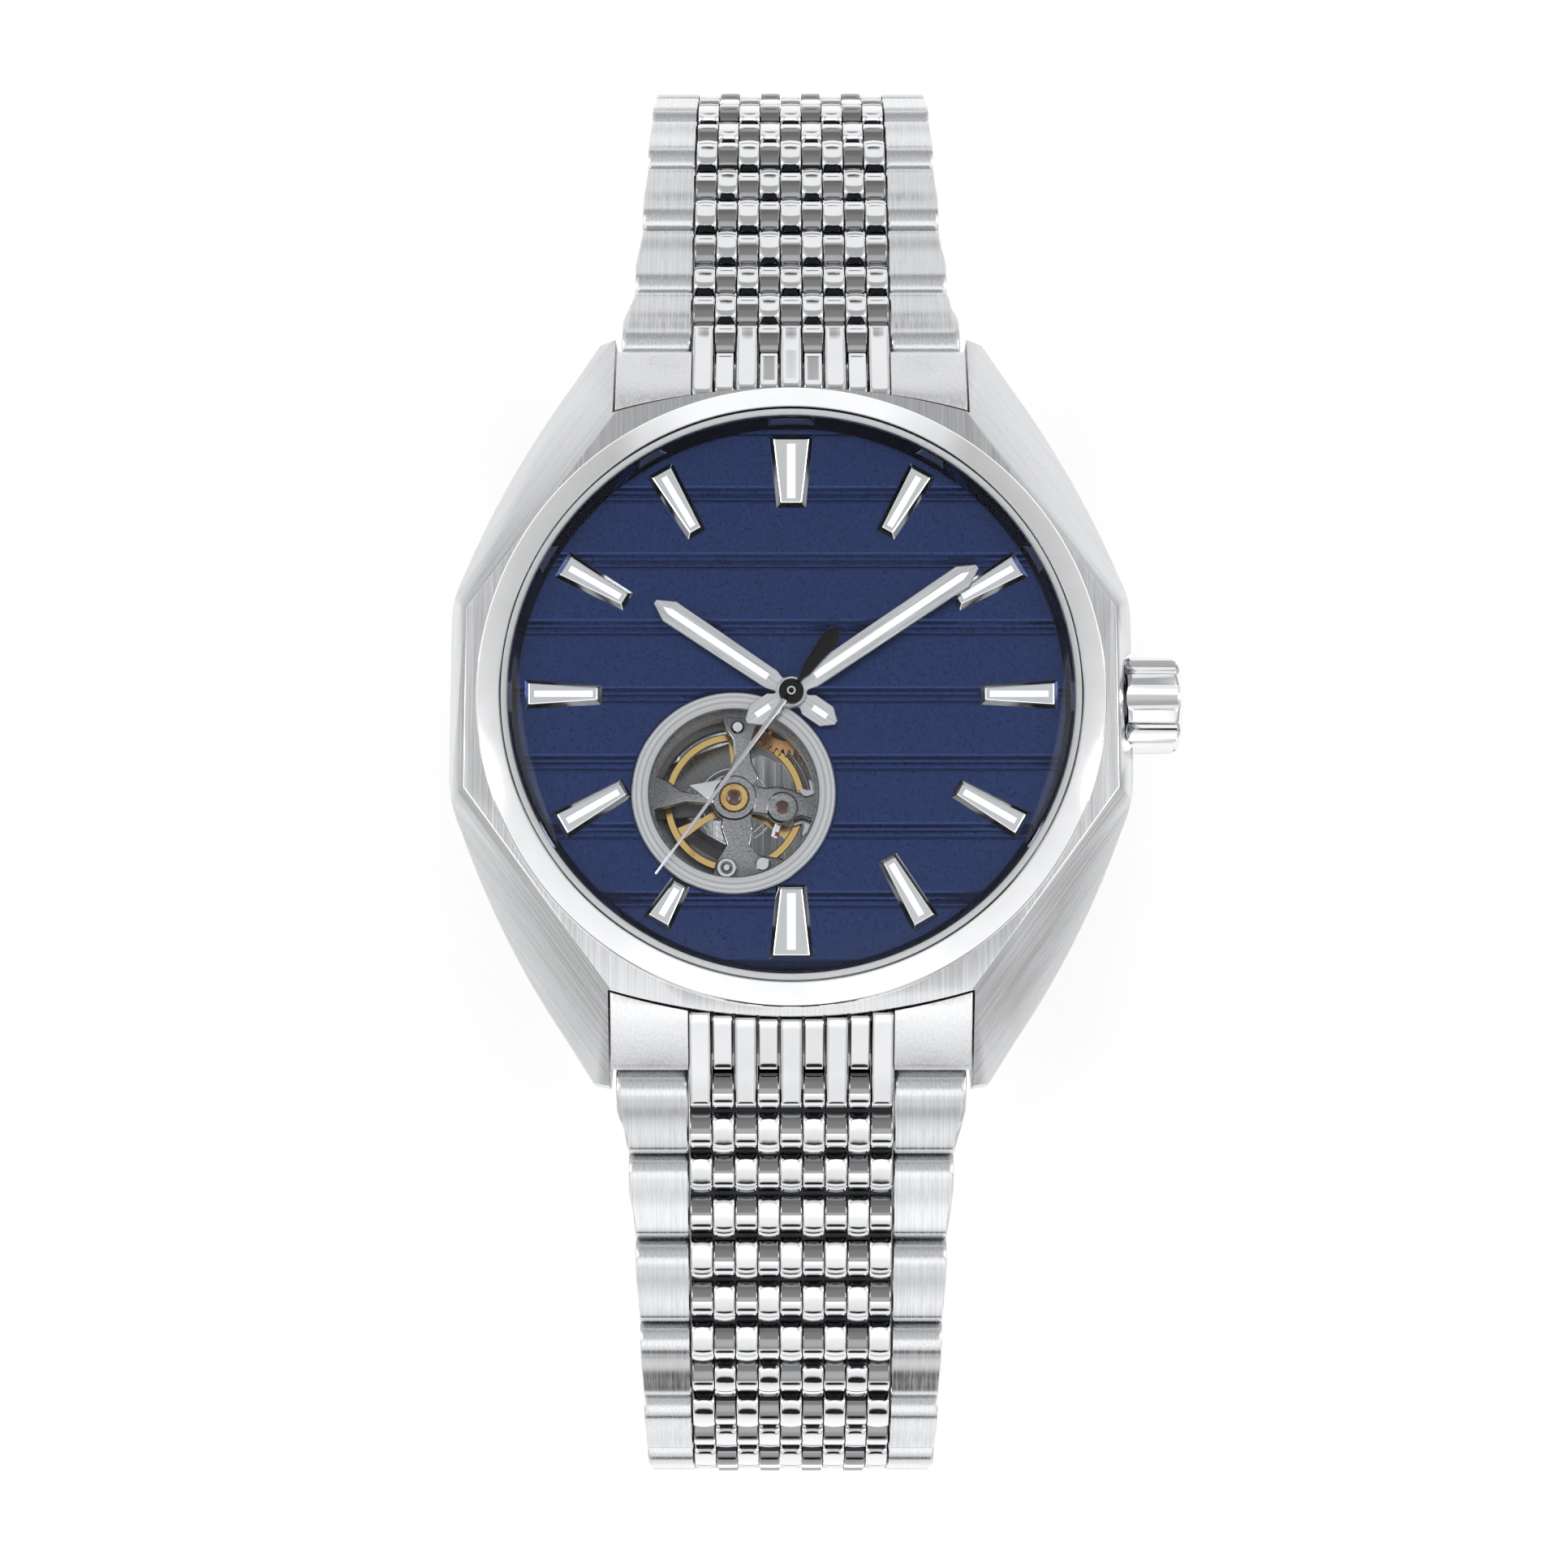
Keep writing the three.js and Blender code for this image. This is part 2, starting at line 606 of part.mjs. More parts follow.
// The end link fills the space between the lugs and carries the first outer knuckles.
function endLink() {
  const slope = THREE.MathUtils.degToRad(endLinkSlope);
  const along = [Math.cos(slope), -Math.sin(slope)];
  const outward = [Math.sin(slope), Math.cos(slope)];
  const onLink = (u, w) => [
    firstPivot.y + u * along[0] + w * outward[0],
    firstPivot.z + u * along[1] + w * outward[1],
  ];
  const profile = [[17, 1.6], [20.6, 1.6], onLink(-bodyStart, -linkHalfThickness),
    onLink(-bodyStart, linkHalfThickness), [18.2, caseTop - 0.1], [17, caseTop - 0.1]];
  const halfWidth = lugInnerX - gap;
  const plan = lugSpace(halfWidth, 18 + gap, 19.6 + gap, 30);
  const body = alongX(profile, -halfWidth, halfWidth).intersect(slab(plan, 0, caseTop + 1));
  const tongues = joined(knuckles(outerColumns, 0, -bodyStart - 0.5))
    .rotate(-endLinkSlope, 0, 0)
    .translate(0, firstPivot.y, firstPivot.z);
  return body.add(tongues);
}

// Walks the drape from the first pin and returns each link's inner pin and slope, then the last pin.
function drape() {
  const places = [];
  let { y, z } = firstPivot;
  for (const slope of linkSlopes) {
    places.push({ y, z, slope: THREE.MathUtils.degToRad(slope) });
    y += linkPitch * Math.cos(THREE.MathUtils.degToRad(slope));
    z -= linkPitch * Math.sin(THREE.MathUtils.degToRad(slope));
  }
  return { places, last: { y, z } };
}
const { places, last: lastPivot } = drape();

for (const [side, turn] of [['12', 0], ['6', Math.PI]]) {
  const half = new THREE.Group();
  half.rotation.z = turn;
  watch.add(half);
  addMesh(`end_link_${side}`, endLink(), steel, half);
  places.forEach(({ y, z, slope }, index) => {
    const name = `link_${side}_${String(index + 1).padStart(2, '0')}`;
    const mesh = addMesh(name, link(linkHalfWidth(index)), steel, half);
    mesh.position.set(0, y, z);
    mesh.rotation.x = -slope;
  });
}

// ---- folding clasp ----
// From the wrist outward: lower blade, middle blade, cover. The blades meet at the fold pin, and the
// middle blade and the cover meet at the cover pin.
const clasp = { halfWidth: 9.2, bladeHalf: 5.4, wall: 1 };
const layer = {
  lower: [lastPivot.z + 0.5, lastPivot.z + 1.3],
  middle: [lastPivot.z - 0.6, lastPivot.z + 0.2],
  cover: [lastPivot.z - 1.9, lastPivot.z - 0.9],
};
const foldPin = { y: 15, z: (layer.lower[1] + layer.middle[0]) / 2, radius: 0.95 };
const coverPin = { y: -lastPivot.y + 3.2, z: (layer.middle[1] + layer.cover[0]) / 2, radius: 1.05 };

function pinBarrel(pin, x0, x1) {
  const halves = [-0.01, 0.01].map((root) => knuckle(0, root, x0, x1, pin.radius));
  return joined(halves).translate(0, pin.y, pin.z);
}

function mirrored(build) {
  return build(1).add(build(-1));
}

function sideBarrels(pin, near, far) {
  return mirrored((s) => pinBarrel(pin, Math.min(s * near, s * far), Math.max(s * near, s * far)));
}

function lowerBlade() {
  const [bottom, top] = layer.lower;
  const start = -lastPivot.y + bodyStart;
  const strip = box(-clasp.bladeHalf, clasp.bladeHalf, start, foldPin.y, bottom, top);
  const linkEnd = joined(knuckles(innerColumns, 0, bodyStart + 0.3)).translate(0, -lastPivot.y, lastPivot.z);
  const reliefAtFold = box(-6, -2, foldPin.y - 1.3, foldPin.y + 2, bottom - 1, top + 1)
    .add(box(2, 6, foldPin.y - 1.3, foldPin.y + 2, bottom - 1, top + 1));
  return strip.subtract(reliefAtFold).add(linkEnd).add(pinBarrel(foldPin, -1.85, 1.85));
}
addMesh('clasp_lower_blade', lowerBlade(), steel);

function middleBlade() {
  const [bottom, top] = layer.middle;
  const strip = box(-clasp.bladeHalf, clasp.bladeHalf, coverPin.y, foldPin.y, bottom, top);
  const foldRelief = box(-2, 2, foldPin.y - 1.3, foldPin.y + 2, bottom - 1, top + 1);
  const coverRelief = mirrored((s) => box(
    Math.min(s * 2, s * 6), Math.max(s * 2, s * 6), coverPin.y - 2, coverPin.y + 1.4, bottom - 1, top + 1,
  ));
  return strip.subtract(foldRelief).subtract(coverRelief)
    .add(sideBarrels(foldPin, 2, clasp.bladeHalf))
    .add(pinBarrel(coverPin, -1.85, 1.85));
}
addMesh('clasp_middle_blade', middleBlade(), steel);

const button = { y: 12, halfLength: 1.5, inner: 7.4, outer: clasp.halfWidth + 0.6 };
const buttonZ = [layer.cover[1] + 0.2, layer.lower[0] + 0.4];

function claspCover() {
  const [bottom, top] = layer.cover;
  const end = lastPivot.y - bodyStart;
  const wallTop = layer.lower[1];
  const plateStart = coverPin.y + 1.4;
  const outerPlate = box(-clasp.halfWidth, clasp.halfWidth, plateStart, end, bottom, top);
  const walls = mirrored((s) => box(
    Math.min(s * clasp.halfWidth, s * (clasp.halfWidth - clasp.wall)),
    Math.max(s * clasp.halfWidth, s * (clasp.halfWidth - clasp.wall)),
    plateStart, end, top - 0.1, wallTop,
  ));
  const buttonSlots = box(-20, 20, button.y - button.halfLength - gap, button.y + button.halfLength + gap,
    buttonZ[0] - gap, wallTop + 1);
  const arms = mirrored((s) => box(
    Math.min(s * 2, s * clasp.halfWidth), Math.max(s * 2, s * clasp.halfWidth),
    coverPin.y, plateStart + 0.1, bottom, top - 0.2,
  ));
  const ends = joined(knuckles(innerColumns, 0, -bodyStart - 0.3))
    .translate(0, lastPivot.y, lastPivot.z);
  const blockHalf = beadHalf - beadPitch;
  const endBlock = box(-blockHalf, blockHalf, end - 1.2, end, bottom, lastPivot.z + 1.2);
  return outerPlate.add(walls.subtract(buttonSlots)).add(arms).add(endBlock).add(ends)
    .add(sideBarrels(coverPin, 2, clasp.halfWidth));
}
addMesh('clasp_cover', claspCover(), steel);

for (const [name, side] of [['clasp_button_right', 1], ['clasp_button_left', -1]]) {
  const reach = [side * button.inner, side * button.outer].sort((a, b) => a - b);
  const y0 = button.y - button.halfLength;
  addMesh(name, box(...reach, y0, y0 + 2 * button.halfLength, ...buttonZ), polishedSteel);
}

export default watch;
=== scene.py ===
"""Looks of an open-heart automatic wristwatch on a draped steel bracelet.

Meshes are modelled in millimetres in the frame of the CAD part: the origin is the centre of the case back,
+Z comes out of the dial, +Y points to twelve o'clock and +X to the crown. settle() scales them to metres.
"""
import math

import bmesh
import bpy
from mathutils import Matrix, Vector


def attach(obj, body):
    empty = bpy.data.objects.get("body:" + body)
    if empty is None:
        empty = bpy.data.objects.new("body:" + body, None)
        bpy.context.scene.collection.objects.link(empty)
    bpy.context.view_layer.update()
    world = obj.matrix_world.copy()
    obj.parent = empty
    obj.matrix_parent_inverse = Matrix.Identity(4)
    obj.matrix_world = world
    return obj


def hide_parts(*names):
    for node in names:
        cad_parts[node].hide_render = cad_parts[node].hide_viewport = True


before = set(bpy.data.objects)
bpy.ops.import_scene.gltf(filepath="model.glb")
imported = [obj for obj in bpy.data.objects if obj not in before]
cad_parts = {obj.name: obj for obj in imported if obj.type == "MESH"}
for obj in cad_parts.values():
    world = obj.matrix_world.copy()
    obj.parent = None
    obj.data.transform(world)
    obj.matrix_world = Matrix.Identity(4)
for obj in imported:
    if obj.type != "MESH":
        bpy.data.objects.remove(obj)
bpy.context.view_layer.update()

MM = 0.001

# ---- dimensions in millimetres ----
CASE_HALF_WIDTH = 21.0
CASE_BOTTOM, CASE_TOP = 0.9, 8.0
LUG_TIP_Y, LUG_INNER_X = 23.6, 11.1
RIDGE = (19.78, 5.88)
RIDGE_ANGLE = 36.2
FACET_SLOPE = 42.0
FLANK_FACET_X, FLANK_FACET_SLOPE = 20.0, 50.0
DIAL_TOP, DIAL_RADIUS = 8.6, 17.5
APERTURE = (-3.5, -6.1)
CROWN_Z, CROWN_RADIUS, CROWN_INNER, CROWN_OUTER = 4.9, 3.0, 20.6, 24.1
PLATE_BOTTOM, PLATE_TOP = 5.75, 7.3
BRIDGE_BOTTOM, BRIDGE_TOP = 3.5, 4.2
TRAIN_LOW, TRAIN_MIDDLE, TRAIN_HIGH, WHEEL_THICKNESS = 4.4, 4.85, 5.35, 0.2
HOUR_ANGLE, MINUTE_ANGLE, SECOND_ANGLE = 55.7, -55.6, 144.0
ROTOR_ANGLE = 20.0
LINK_PITCH = 5.8
FIRST_PIVOT = (23.5, 3.65)
END_LINK_SLOPE = 28.0
LINK_SLOPES = (33, 25, 29, 44, 61, 84, 110, 134, 154, 169, 178)
BEAD_PITCH, BEAD_COLUMNS = 1.39, range(-4, 5)
BEAD_HALF = 4.5 * BEAD_PITCH
GAP = 0.15


# ---- mesh helpers ----
def as_object(name, bm):
    bmesh.ops.recalc_face_normals(bm, faces=bm.faces)
    mesh = bpy.data.meshes.new(name)
    bm.to_mesh(mesh)
    bm.free()
    obj = bpy.data.objects.new(name, mesh)
    bpy.context.scene.collection.objects.link(obj)
    return obj


def polar(radius, angle, at=(0, 0)):
    """The (x, y) of the point at this distance and angle, in radians, from `at`."""
    return at[0] + radius * math.cos(angle), at[1] + radius * math.sin(angle)


def skin(bm, loops):
    """Adds the faces between neighbouring closed loops of points."""
    for low, high in zip(loops, loops[1:]):
        for i in range(len(low)):
            j = (i + 1) % len(low)
            bm.faces.new((low[i], low[j], high[j], high[i]))


def lathe(name, profile, at=(0, 0), segments=160):
    """Turns a closed [radius, z] profile about the vertical axis through `at`."""
    bm = bmesh.new()
    rings = []
    for radius, z in profile:
        angles = [2 * math.pi * i / segments for i in range(1 if radius == 0 else segments)]
        rings.append([bm.verts.new((*polar(radius, angle, at), z)) for angle in angles])
    for near, far in zip(rings, rings[1:] + rings[:1]):
        if len(near) == len(far) == 1:
            continue
        for i in range(segments):
            j = (i + 1) % segments
            corners = [near[i % len(near)], near[j % len(near)], far[j % len(far)], far[i % len(far)]]
            bm.faces.new(list(dict.fromkeys(corners)))
    return as_object(name, bm)


def ring(name, inner, outer, bottom, top, at=(0, 0), segments=160, edge=0.06):
    """A ring with small chamfers on its outer and upper edges."""
    return lathe(name, [
        (inner, bottom), (outer - edge, bottom), (outer, bottom + edge), (outer, top - edge),
        (outer - edge, top), (inner + edge, top), (inner, top - edge),
    ], at, segments)


def disc(name, radius, bottom, top, at=(0, 0), segments=64, edge=0.04):
    return lathe(name, [
        (0, bottom), (radius - edge, bottom), (radius, bottom + edge),
        (radius, top - edge), (radius - edge, top), (0, top),
    ], at, segments)


def drill(radius, bottom, top, at=(0, 0), segments=64):
    """A plain cylinder to cut or trim with."""
    return lathe("drill", [(0, bottom), (radius, bottom), (radius, top), (0, top)], at, segments)


def prism(name, outline, bottom, top):
    bm = bmesh.new()
    low = [bm.verts.new((x, y, bottom)) for x, y in outline]
    high = [bm.verts.new((x, y, top)) for x, y in outline]
    bm.faces.new(low[::-1])
    bm.faces.new(high)
    skin(bm, [low, high])
    return as_object(name, bm)


def box(name, x0, x1, y0, y1, z0, z1):
    return prism(name, [(x0, y0), (x1, y0), (x1, y1), (x0, y1)], z0, z1)


def along_x(name, outline, x0, x1):
    """Extrudes a (y, z) outline along X."""
    obj = prism(name, outline, x0, x1)
    obj.data.transform(Matrix(((0, 0, 1, 0), (1, 0, 0, 0), (0, 1, 0, 0), (0, 0, 0, 1))))
    return obj


def rod_x(name, profile, segments=64, z=CROWN_Z):
    """Turns a closed (radius, x) profile about the X axis at the height z."""
    obj = lathe(name, profile, segments=segments)
    obj.data.transform(Matrix.Translation((0, 0, z)) @ Matrix.Rotation(math.pi / 2, 4, "Y"))
    return obj


def drill_x(radius, x0, x1, segments=64):
    """A plain cylinder along the crown's axis to cut with."""
    return rod_x("drill", [(0, x0), (radius, x0), (radius, x1), (0, x1)], segments)


def moved(obj, x=0.0, y=0.0, z=0.0):
    obj.data.transform(Matrix.Translation((x, y, z)))
    return obj


def spun(obj, degrees, about=(0, 0)):
    here = Matrix.Translation((about[0], about[1], 0))
    obj.data.transform(here @ Matrix.Rotation(math.radians(degrees), 4, "Z") @ here.inverted())
    return obj


def apply_modifiers(obj):
    bpy.context.view_layer.update()
    evaluated = obj.evaluated_get(bpy.context.evaluated_depsgraph_get())
    mesh = bpy.data.meshes.new_from_object(evaluated)
    obj.modifiers.clear()
    obj.data = mesh
    return obj


def combined(obj, others, operation):
    for other in others:
        modifier = obj.modifiers.new("combine", "BOOLEAN")
        modifier.operation = operation
        modifier.solver = "EXACT"
        modifier.object = other
        apply_modifiers(obj)
        bpy.data.objects.remove(other)
    return obj


def cut(obj, *others):
    return combined(obj, others, "DIFFERENCE")


def union(obj, *others):
    return combined(obj, others, "UNION")


def common(obj, *others):
    return combined(obj, others, "INTERSECT")


def cleaned(obj, distance, angle):
    """Joins the points that lie closer than `distance` and dissolves the edges flatter than `angle`."""
    bm = bmesh.new()
    bm.from_mesh(obj.data)
    bmesh.ops.remove_doubles(bm, verts=bm.verts, dist=distance)
    bmesh.ops.dissolve_limit(bm, angle_limit=math.radians(angle), verts=bm.verts, edges=bm.edges)
    bm.to_mesh(obj.data)
    bm.free()
    return obj


def softened(obj, width, segments=2, angle=28):
    """Rounds the sharp edges, after a clean-up of what the cuts have left."""
    cleaned(obj, 0.01, 0.5)
    modifier = obj.modifiers.new("edges", "BEVEL")
    modifier.width = width
    modifier.segments = segments
    modifier.limit_method = "ANGLE"
    modifier.angle_limit = math.radians(angle)
    return apply_modifiers(obj)


def gathered(name, objects):
    """One object made of several separate shells."""
    bm = bmesh.new()
    for obj in objects:
        bm.from_mesh(obj.data)
        bpy.data.objects.remove(obj)
    return as_object(name, bm)


def settle(obj, body, look, replaces=(), place=None, smooth=30):
    """Scales a finished mesh to metres, gives it its look and hangs it on its CAD body."""
    obj.data.transform(Matrix.Scale(MM, 4))
    obj.data.shade_smooth()
    obj.data.set_sharp_from_angle(angle=math.radians(smooth))
    if not obj.data.materials:
        obj.data.materials.append(look)
    if place is not None:
        obj.matrix_world = place
    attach(obj, body)
    if replaces:
        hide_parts(*replaces)
    return obj


def paint(obj, looks, choose):
    """Gives every face the look whose number choose(normal, centre) returns."""
    obj.data.materials.clear()
    for look in looks:
        obj.data.materials.append(look)
    for face in obj.data.polygons:
        face.material_index = choose(face.normal, face.center)
    return obj


# ---- material helpers ----
class Tree:
    """Adds nodes to a node tree."""

    def __init__(self, tree):
        self.nodes = tree.nodes
        self.links = tree.links

    def node(self, kind, settings=None, **inputs):
        node = self.nodes.new(kind)
        for key, value in (settings or {}).items():
            setattr(node, key, value)
        for key, value in inputs.items():
            socket = node.inputs[key.replace("_", " ")]
            if isinstance(value, bpy.types.NodeSocket):
                self.links.new(value, socket)
            else:
                socket.default_value = value
        return node

    def ramp(self, factor, stops):
        """A colour ramp of (position, grey or colour) stops."""
        node = self.node("ShaderNodeValToRGB", Fac=factor)
        elements = node.color_ramp.elements
        while len(elements) < len(stops):
            elements.new(0.5)
        for element, (position, value) in zip(elements, stops):
            element.position = position
            element.color = (*value, 1) if isinstance(value, tuple) else (value, value, value, 1)
        return node.outputs["Color"]


class Look(Tree):
    """A node material with its shader's inputs at hand."""

    def __init__(self, name, **inputs):
        self.material = bpy.data.materials.new(name)
        self.material.use_nodes = True
        super().__init__(self.material.node_tree)
        self.shader = self.nodes["Principled BSDF"]
        for key, value in inputs.items():
            self.shader.inputs[key.replace("_", " ")].default_value = value

    def place(self):
        return self.nodes.new("ShaderNodeTexCoord").outputs["Object"]

    def feed(self, name, output):
        self.links.new(output, self.shader.inputs[name])

    def bump(self, height, distance):
        bump = self.node("ShaderNodeBump", Height=height, Distance=distance, Strength=1.0)
        self.feed("Normal", bump.outputs["Normal"])

    def mottle(self, pattern, colour, contrast, roughness, spread=(0.8, 1.25), stops=(0.3, 0.7)):
        """Varies the colour and the roughness with a pattern, by the given shares of their values."""
        tones = [shade(colour, share) for share in contrast]
        self.feed("Base Color", self.ramp(pattern, list(zip(stops, tones))))
        rough = [min(1, roughness * share) for share in spread]
        self.feed("Roughness", self.ramp(pattern, list(zip((0.3, 0.7), rough))))


def shade(colour, factor):
    return tuple(channel * factor for channel in colour)


STEEL = (0.6, 0.605, 0.615)


def grained(name, colour, roughness, frequency, depth, turn=0.0, contrast=0.12):
    """Metal with a directional grain: `frequency` counts the scratches per millimetre along X, Y and Z."""
    look = Look(name, Metallic=1.0)
    turned = look.node("ShaderNodeMapping", Vector=look.place(), Rotation=(0, 0, math.radians(turn)))
    per_metre = [value / MM for value in frequency]
    scaled = look.node("ShaderNodeMapping", Vector=turned.outputs["Vector"], Scale=per_metre)
    noise = look.node(
        "ShaderNodeTexNoise", Vector=scaled.outputs["Vector"], Scale=1.0, Detail=3.0, Roughness=0.65,
    )
    grain = noise.outputs["Fac"]
    look.mottle(grain, colour, (1 - contrast, 1 + contrast), roughness)
    look.bump(grain, depth * MM)
    return look.material


def concentric(name, colour, roughness, centre, per_mm, depth):
    """Metal with fine circular grooves about a vertical axis."""
    look = Look(name, Metallic=1.0)
    to_centre = (-centre[0] * MM, -centre[1] * MM, 0)
    shift = look.node("ShaderNodeMapping", Vector=look.place(), Location=to_centre, Scale=(1, 1, 0))
    radius = look.node("ShaderNodeVectorMath", {"operation": "LENGTH"}, Vector=shift.outputs["Vector"])
    noise = look.node(
        "ShaderNodeTexNoise", {"noise_dimensions": "1D"},
        W=radius.outputs["Value"], Scale=per_mm / MM, Detail=2.0, Roughness=0.6,
    )
    grain = noise.outputs["Fac"]
    look.mottle(grain, colour, (0.8, 1.08), roughness, (0.8, 1.3), (0.35, 0.65))
    look.bump(grain, depth * MM)
    return look.material


def polished(name, colour, roughness=0.06, metallic=1.0, **inputs):
    """Mirror-like metal whose gloss varies faintly from place to place."""
    look = Look(name, Metallic=metallic, **inputs)
    noise = look.node("ShaderNodeTexNoise", Vector=look.place(), Scale=420.0, Detail=3.0)
    haze = 0.02
    look.mottle(noise.outputs["Fac"], colour, (0.97, 1.02), roughness, (1, 1 + haze / roughness))
    return look.material


def grainy(name, colour, roughness, per_mm, depth, contrast=0.15, metallic=1.0, **inputs):
    """A finely speckled surface, such as bead-blasted metal, paint or rubber."""
    look = Look(name, Metallic=metallic, **inputs)
    noise = look.node("ShaderNodeTexNoise", Vector=look.place(), Scale=per_mm / MM, Detail=4.0, Roughness=0.7)
    grain = noise.outputs["Fac"]
    look.mottle(grain, colour, (1 - contrast, 1 + contrast), roughness, (0.85, 1.15))
    look.bump(grain, depth * MM)
    return look.material


brushed_y = grained("steel_brushed_lengthwise", STEEL, 0.24, (8, 0.1, 8), 0.0012, contrast=0.14)
end_steel = grained("steel_brushed_end_link", (0.7, 0.705, 0.715), 0.36, (9, 0.1, 9), 0.0016, contrast=0.12)
brushed_x = grained("steel_brushed_across", STEEL, 0.28, (0.12, 9, 9), 0.002)
brushed_rising = grained("steel_brushed_rising", STEEL, 0.28, (0.12, 9, 9), 0.002, turn=RIDGE_ANGLE - 90)
brushed_falling = grained("steel_brushed_falling", STEEL, 0.28, (0.12, 9, 9), 0.002, turn=90 - RIDGE_ANGLE)
bright_steel = polished("steel_polished", (0.72, 0.725, 0.735))
dark_edge = polished("steel_edge", (0.55, 0.56, 0.58), 0.12)
# Near-black steel: painted shade for the grooves, gaps and recessed walls where little light reaches.
painted_shade_steel = polished("steel_painted_shade", (0.025, 0.026, 0.028), 0.2)
# Dark grey steel: painted dark reflection on the bracelet's barrels and painted shade on the beads' low
# faces.
painted_dark_reflection_steel = polished("steel_painted_dark_reflection", (0.26, 0.262, 0.267), 0.1)
blasted = grainy("steel_blasted", (0.25, 0.252, 0.256), 0.42, 9, 0.05, 0.6)
bridge_steel = grained("bridge_brushed", (0.11, 0.112, 0.115), 0.4, (6, 0.1, 6), 0.003, turn=30)
brass = grained("brass_brushed", (0.72, 0.49, 0.2), 0.25, (7, 7, 0.5), 0.002)
gold = polished("gold_polished", (0.72, 0.5, 0.2), 0.16)
copper = polished("copper_polished", (0.6, 0.33, 0.16), 0.16)
ruby = polished("ruby", (0.055, 0.014, 0.01), 0.06, metallic=0.0, Coat_Weight=0.5)
pallet_ruby = polished("ruby_pallet", (0.22, 0.03, 0.02), 0.08, metallic=0.0, Coat_Weight=0.5)
nylon = grainy("gasket_nylon", (0.42, 0.43, 0.44), 0.45, 4, 0.002, 0.05, metallic=0.0)
plastic = grainy("plastic_black", (0.018, 0.018, 0.02), 0.5, 5, 0.003, metallic=0.0)
rubber = grainy("rubber_black", (0.02, 0.02, 0.02), 0.65, 6, 0.004, metallic=0.0)
enamel = grainy(
    "enamel_black", (0.003, 0.003, 0.0035), 0.6, 3, 0.001, metallic=0.0, Specular_IOR_Level=0.12,
)
# The emission is a painted glow that keeps the lume bright white under the studio light.
lume = grainy(
    "lume_white", (0.92, 0.94, 0.93), 0.5, 18, 0.003, 0.03, metallic=0.0,
    Emission_Color=(1, 1, 1, 1), Emission_Strength=0.22,
)
blue_face = grainy("dial_blue", (0.019, 0.037, 0.125), 0.3, 6, 0.014, 0.35, metallic=0.85)
navy = polished("ring_navy", (0.035, 0.05, 0.11), 0.05)
ring_grooved = concentric("aperture_grooved", (0.62, 0.625, 0.63), 0.3, APERTURE, 6, 0.006)
rotor_grooved = concentric("rotor_grooved", (0.2, 0.202, 0.206), 0.3, (0, 0), 5, 0.004)


def glass_look():
    """Clear glass: mostly see-through, with a Fresnel reflection."""
    look = Look("glass_clear")
    look.nodes.remove(look.shader)
    noise = look.node("ShaderNodeTexNoise", Vector=look.place(), Scale=60.0, Detail=1.0)
    tint = look.ramp(noise.outputs["Fac"], [(0.3, (0.985, 0.99, 1.0)), (0.7, (0.995, 1.0, 1.0))])
    clear = look.node("ShaderNodeBsdfTransparent", Color=tint)
    gloss = look.node("ShaderNodeBsdfGlossy", Roughness=0.02)
    fresnel = look.node("ShaderNodeFresnel", IOR=1.22)
    mix = look.node("ShaderNodeMixShader", Fac=fresnel.outputs["Fac"])
    look.links.new(clear.outputs["BSDF"], mix.inputs[1])
    look.links.new(gloss.outputs["BSDF"], mix.inputs[2])
    look.links.new(mix.outputs["Shader"], look.nodes["Material Output"].inputs["Surface"])
    return look.material


glass = glass_look()


# ---- case ----
def quadratic(start, control, end, steps):
    """Points of a quadratic curve, without its start."""
    points = []
    for i in range(1, steps + 1):
        t = i / steps
        points.append(tuple(
            (1 - t) ** 2 * s + 2 * t * (1 - t) * c + t * t * e for s, c, e in zip(start, control, end)
        ))
    return points


def case_outline():
    quarter = [(CASE_HALF_WIDTH, 0.0), (CASE_HALF_WIDTH, 4.6)]
    quarter += quadratic(quarter[-1], (CASE_HALF_WIDTH, 6.4), (20.25, 8.1), 8)
    quarter += quadratic(quarter[-1], (17.85, 14.9), (13.7, 20.9), 14)
    quarter += quadratic(quarter[-1], (12.6, 22.6), (12.1, LUG_TIP_Y - 0.2), 6)
    quarter.append((LUG_INNER_X, LUG_TIP_Y))
    upper_left = [(-x, y) for x, y in reversed(quarter)]
    lower_left = [(-x, -y) for x, y in quarter[1:]]
    lower_right = [(x, -y) for x, y in reversed(quarter[1:])]
    return quarter + upper_left + lower_left + lower_right


def lug_space(half_width, corner_y, middle_y, far_y):
    arc = quadratic((-half_width, corner_y), (0, 2 * middle_y - corner_y), (half_width, corner_y), 24)
    return [(-half_width, far_y), (-half_width, corner_y), *arc, (half_width, far_y)]


def facet_cutter(start, slope, facing):
    """Everything above a plane that leaves the top face at `start` and falls outward."""
    reach = 12
    drop = reach * math.tan(math.radians(slope))
    end = start + reach
    wedge = [(start, CASE_TOP), (end, CASE_TOP - drop), (end, CASE_TOP + 2), (start, CASE_TOP + 2)]
    cutter = prism("wedge", wedge, -30, 30)
    cutter.data.transform(Matrix.Rotation(math.pi / 2, 4, "X"))
    return spun(cutter, facing)


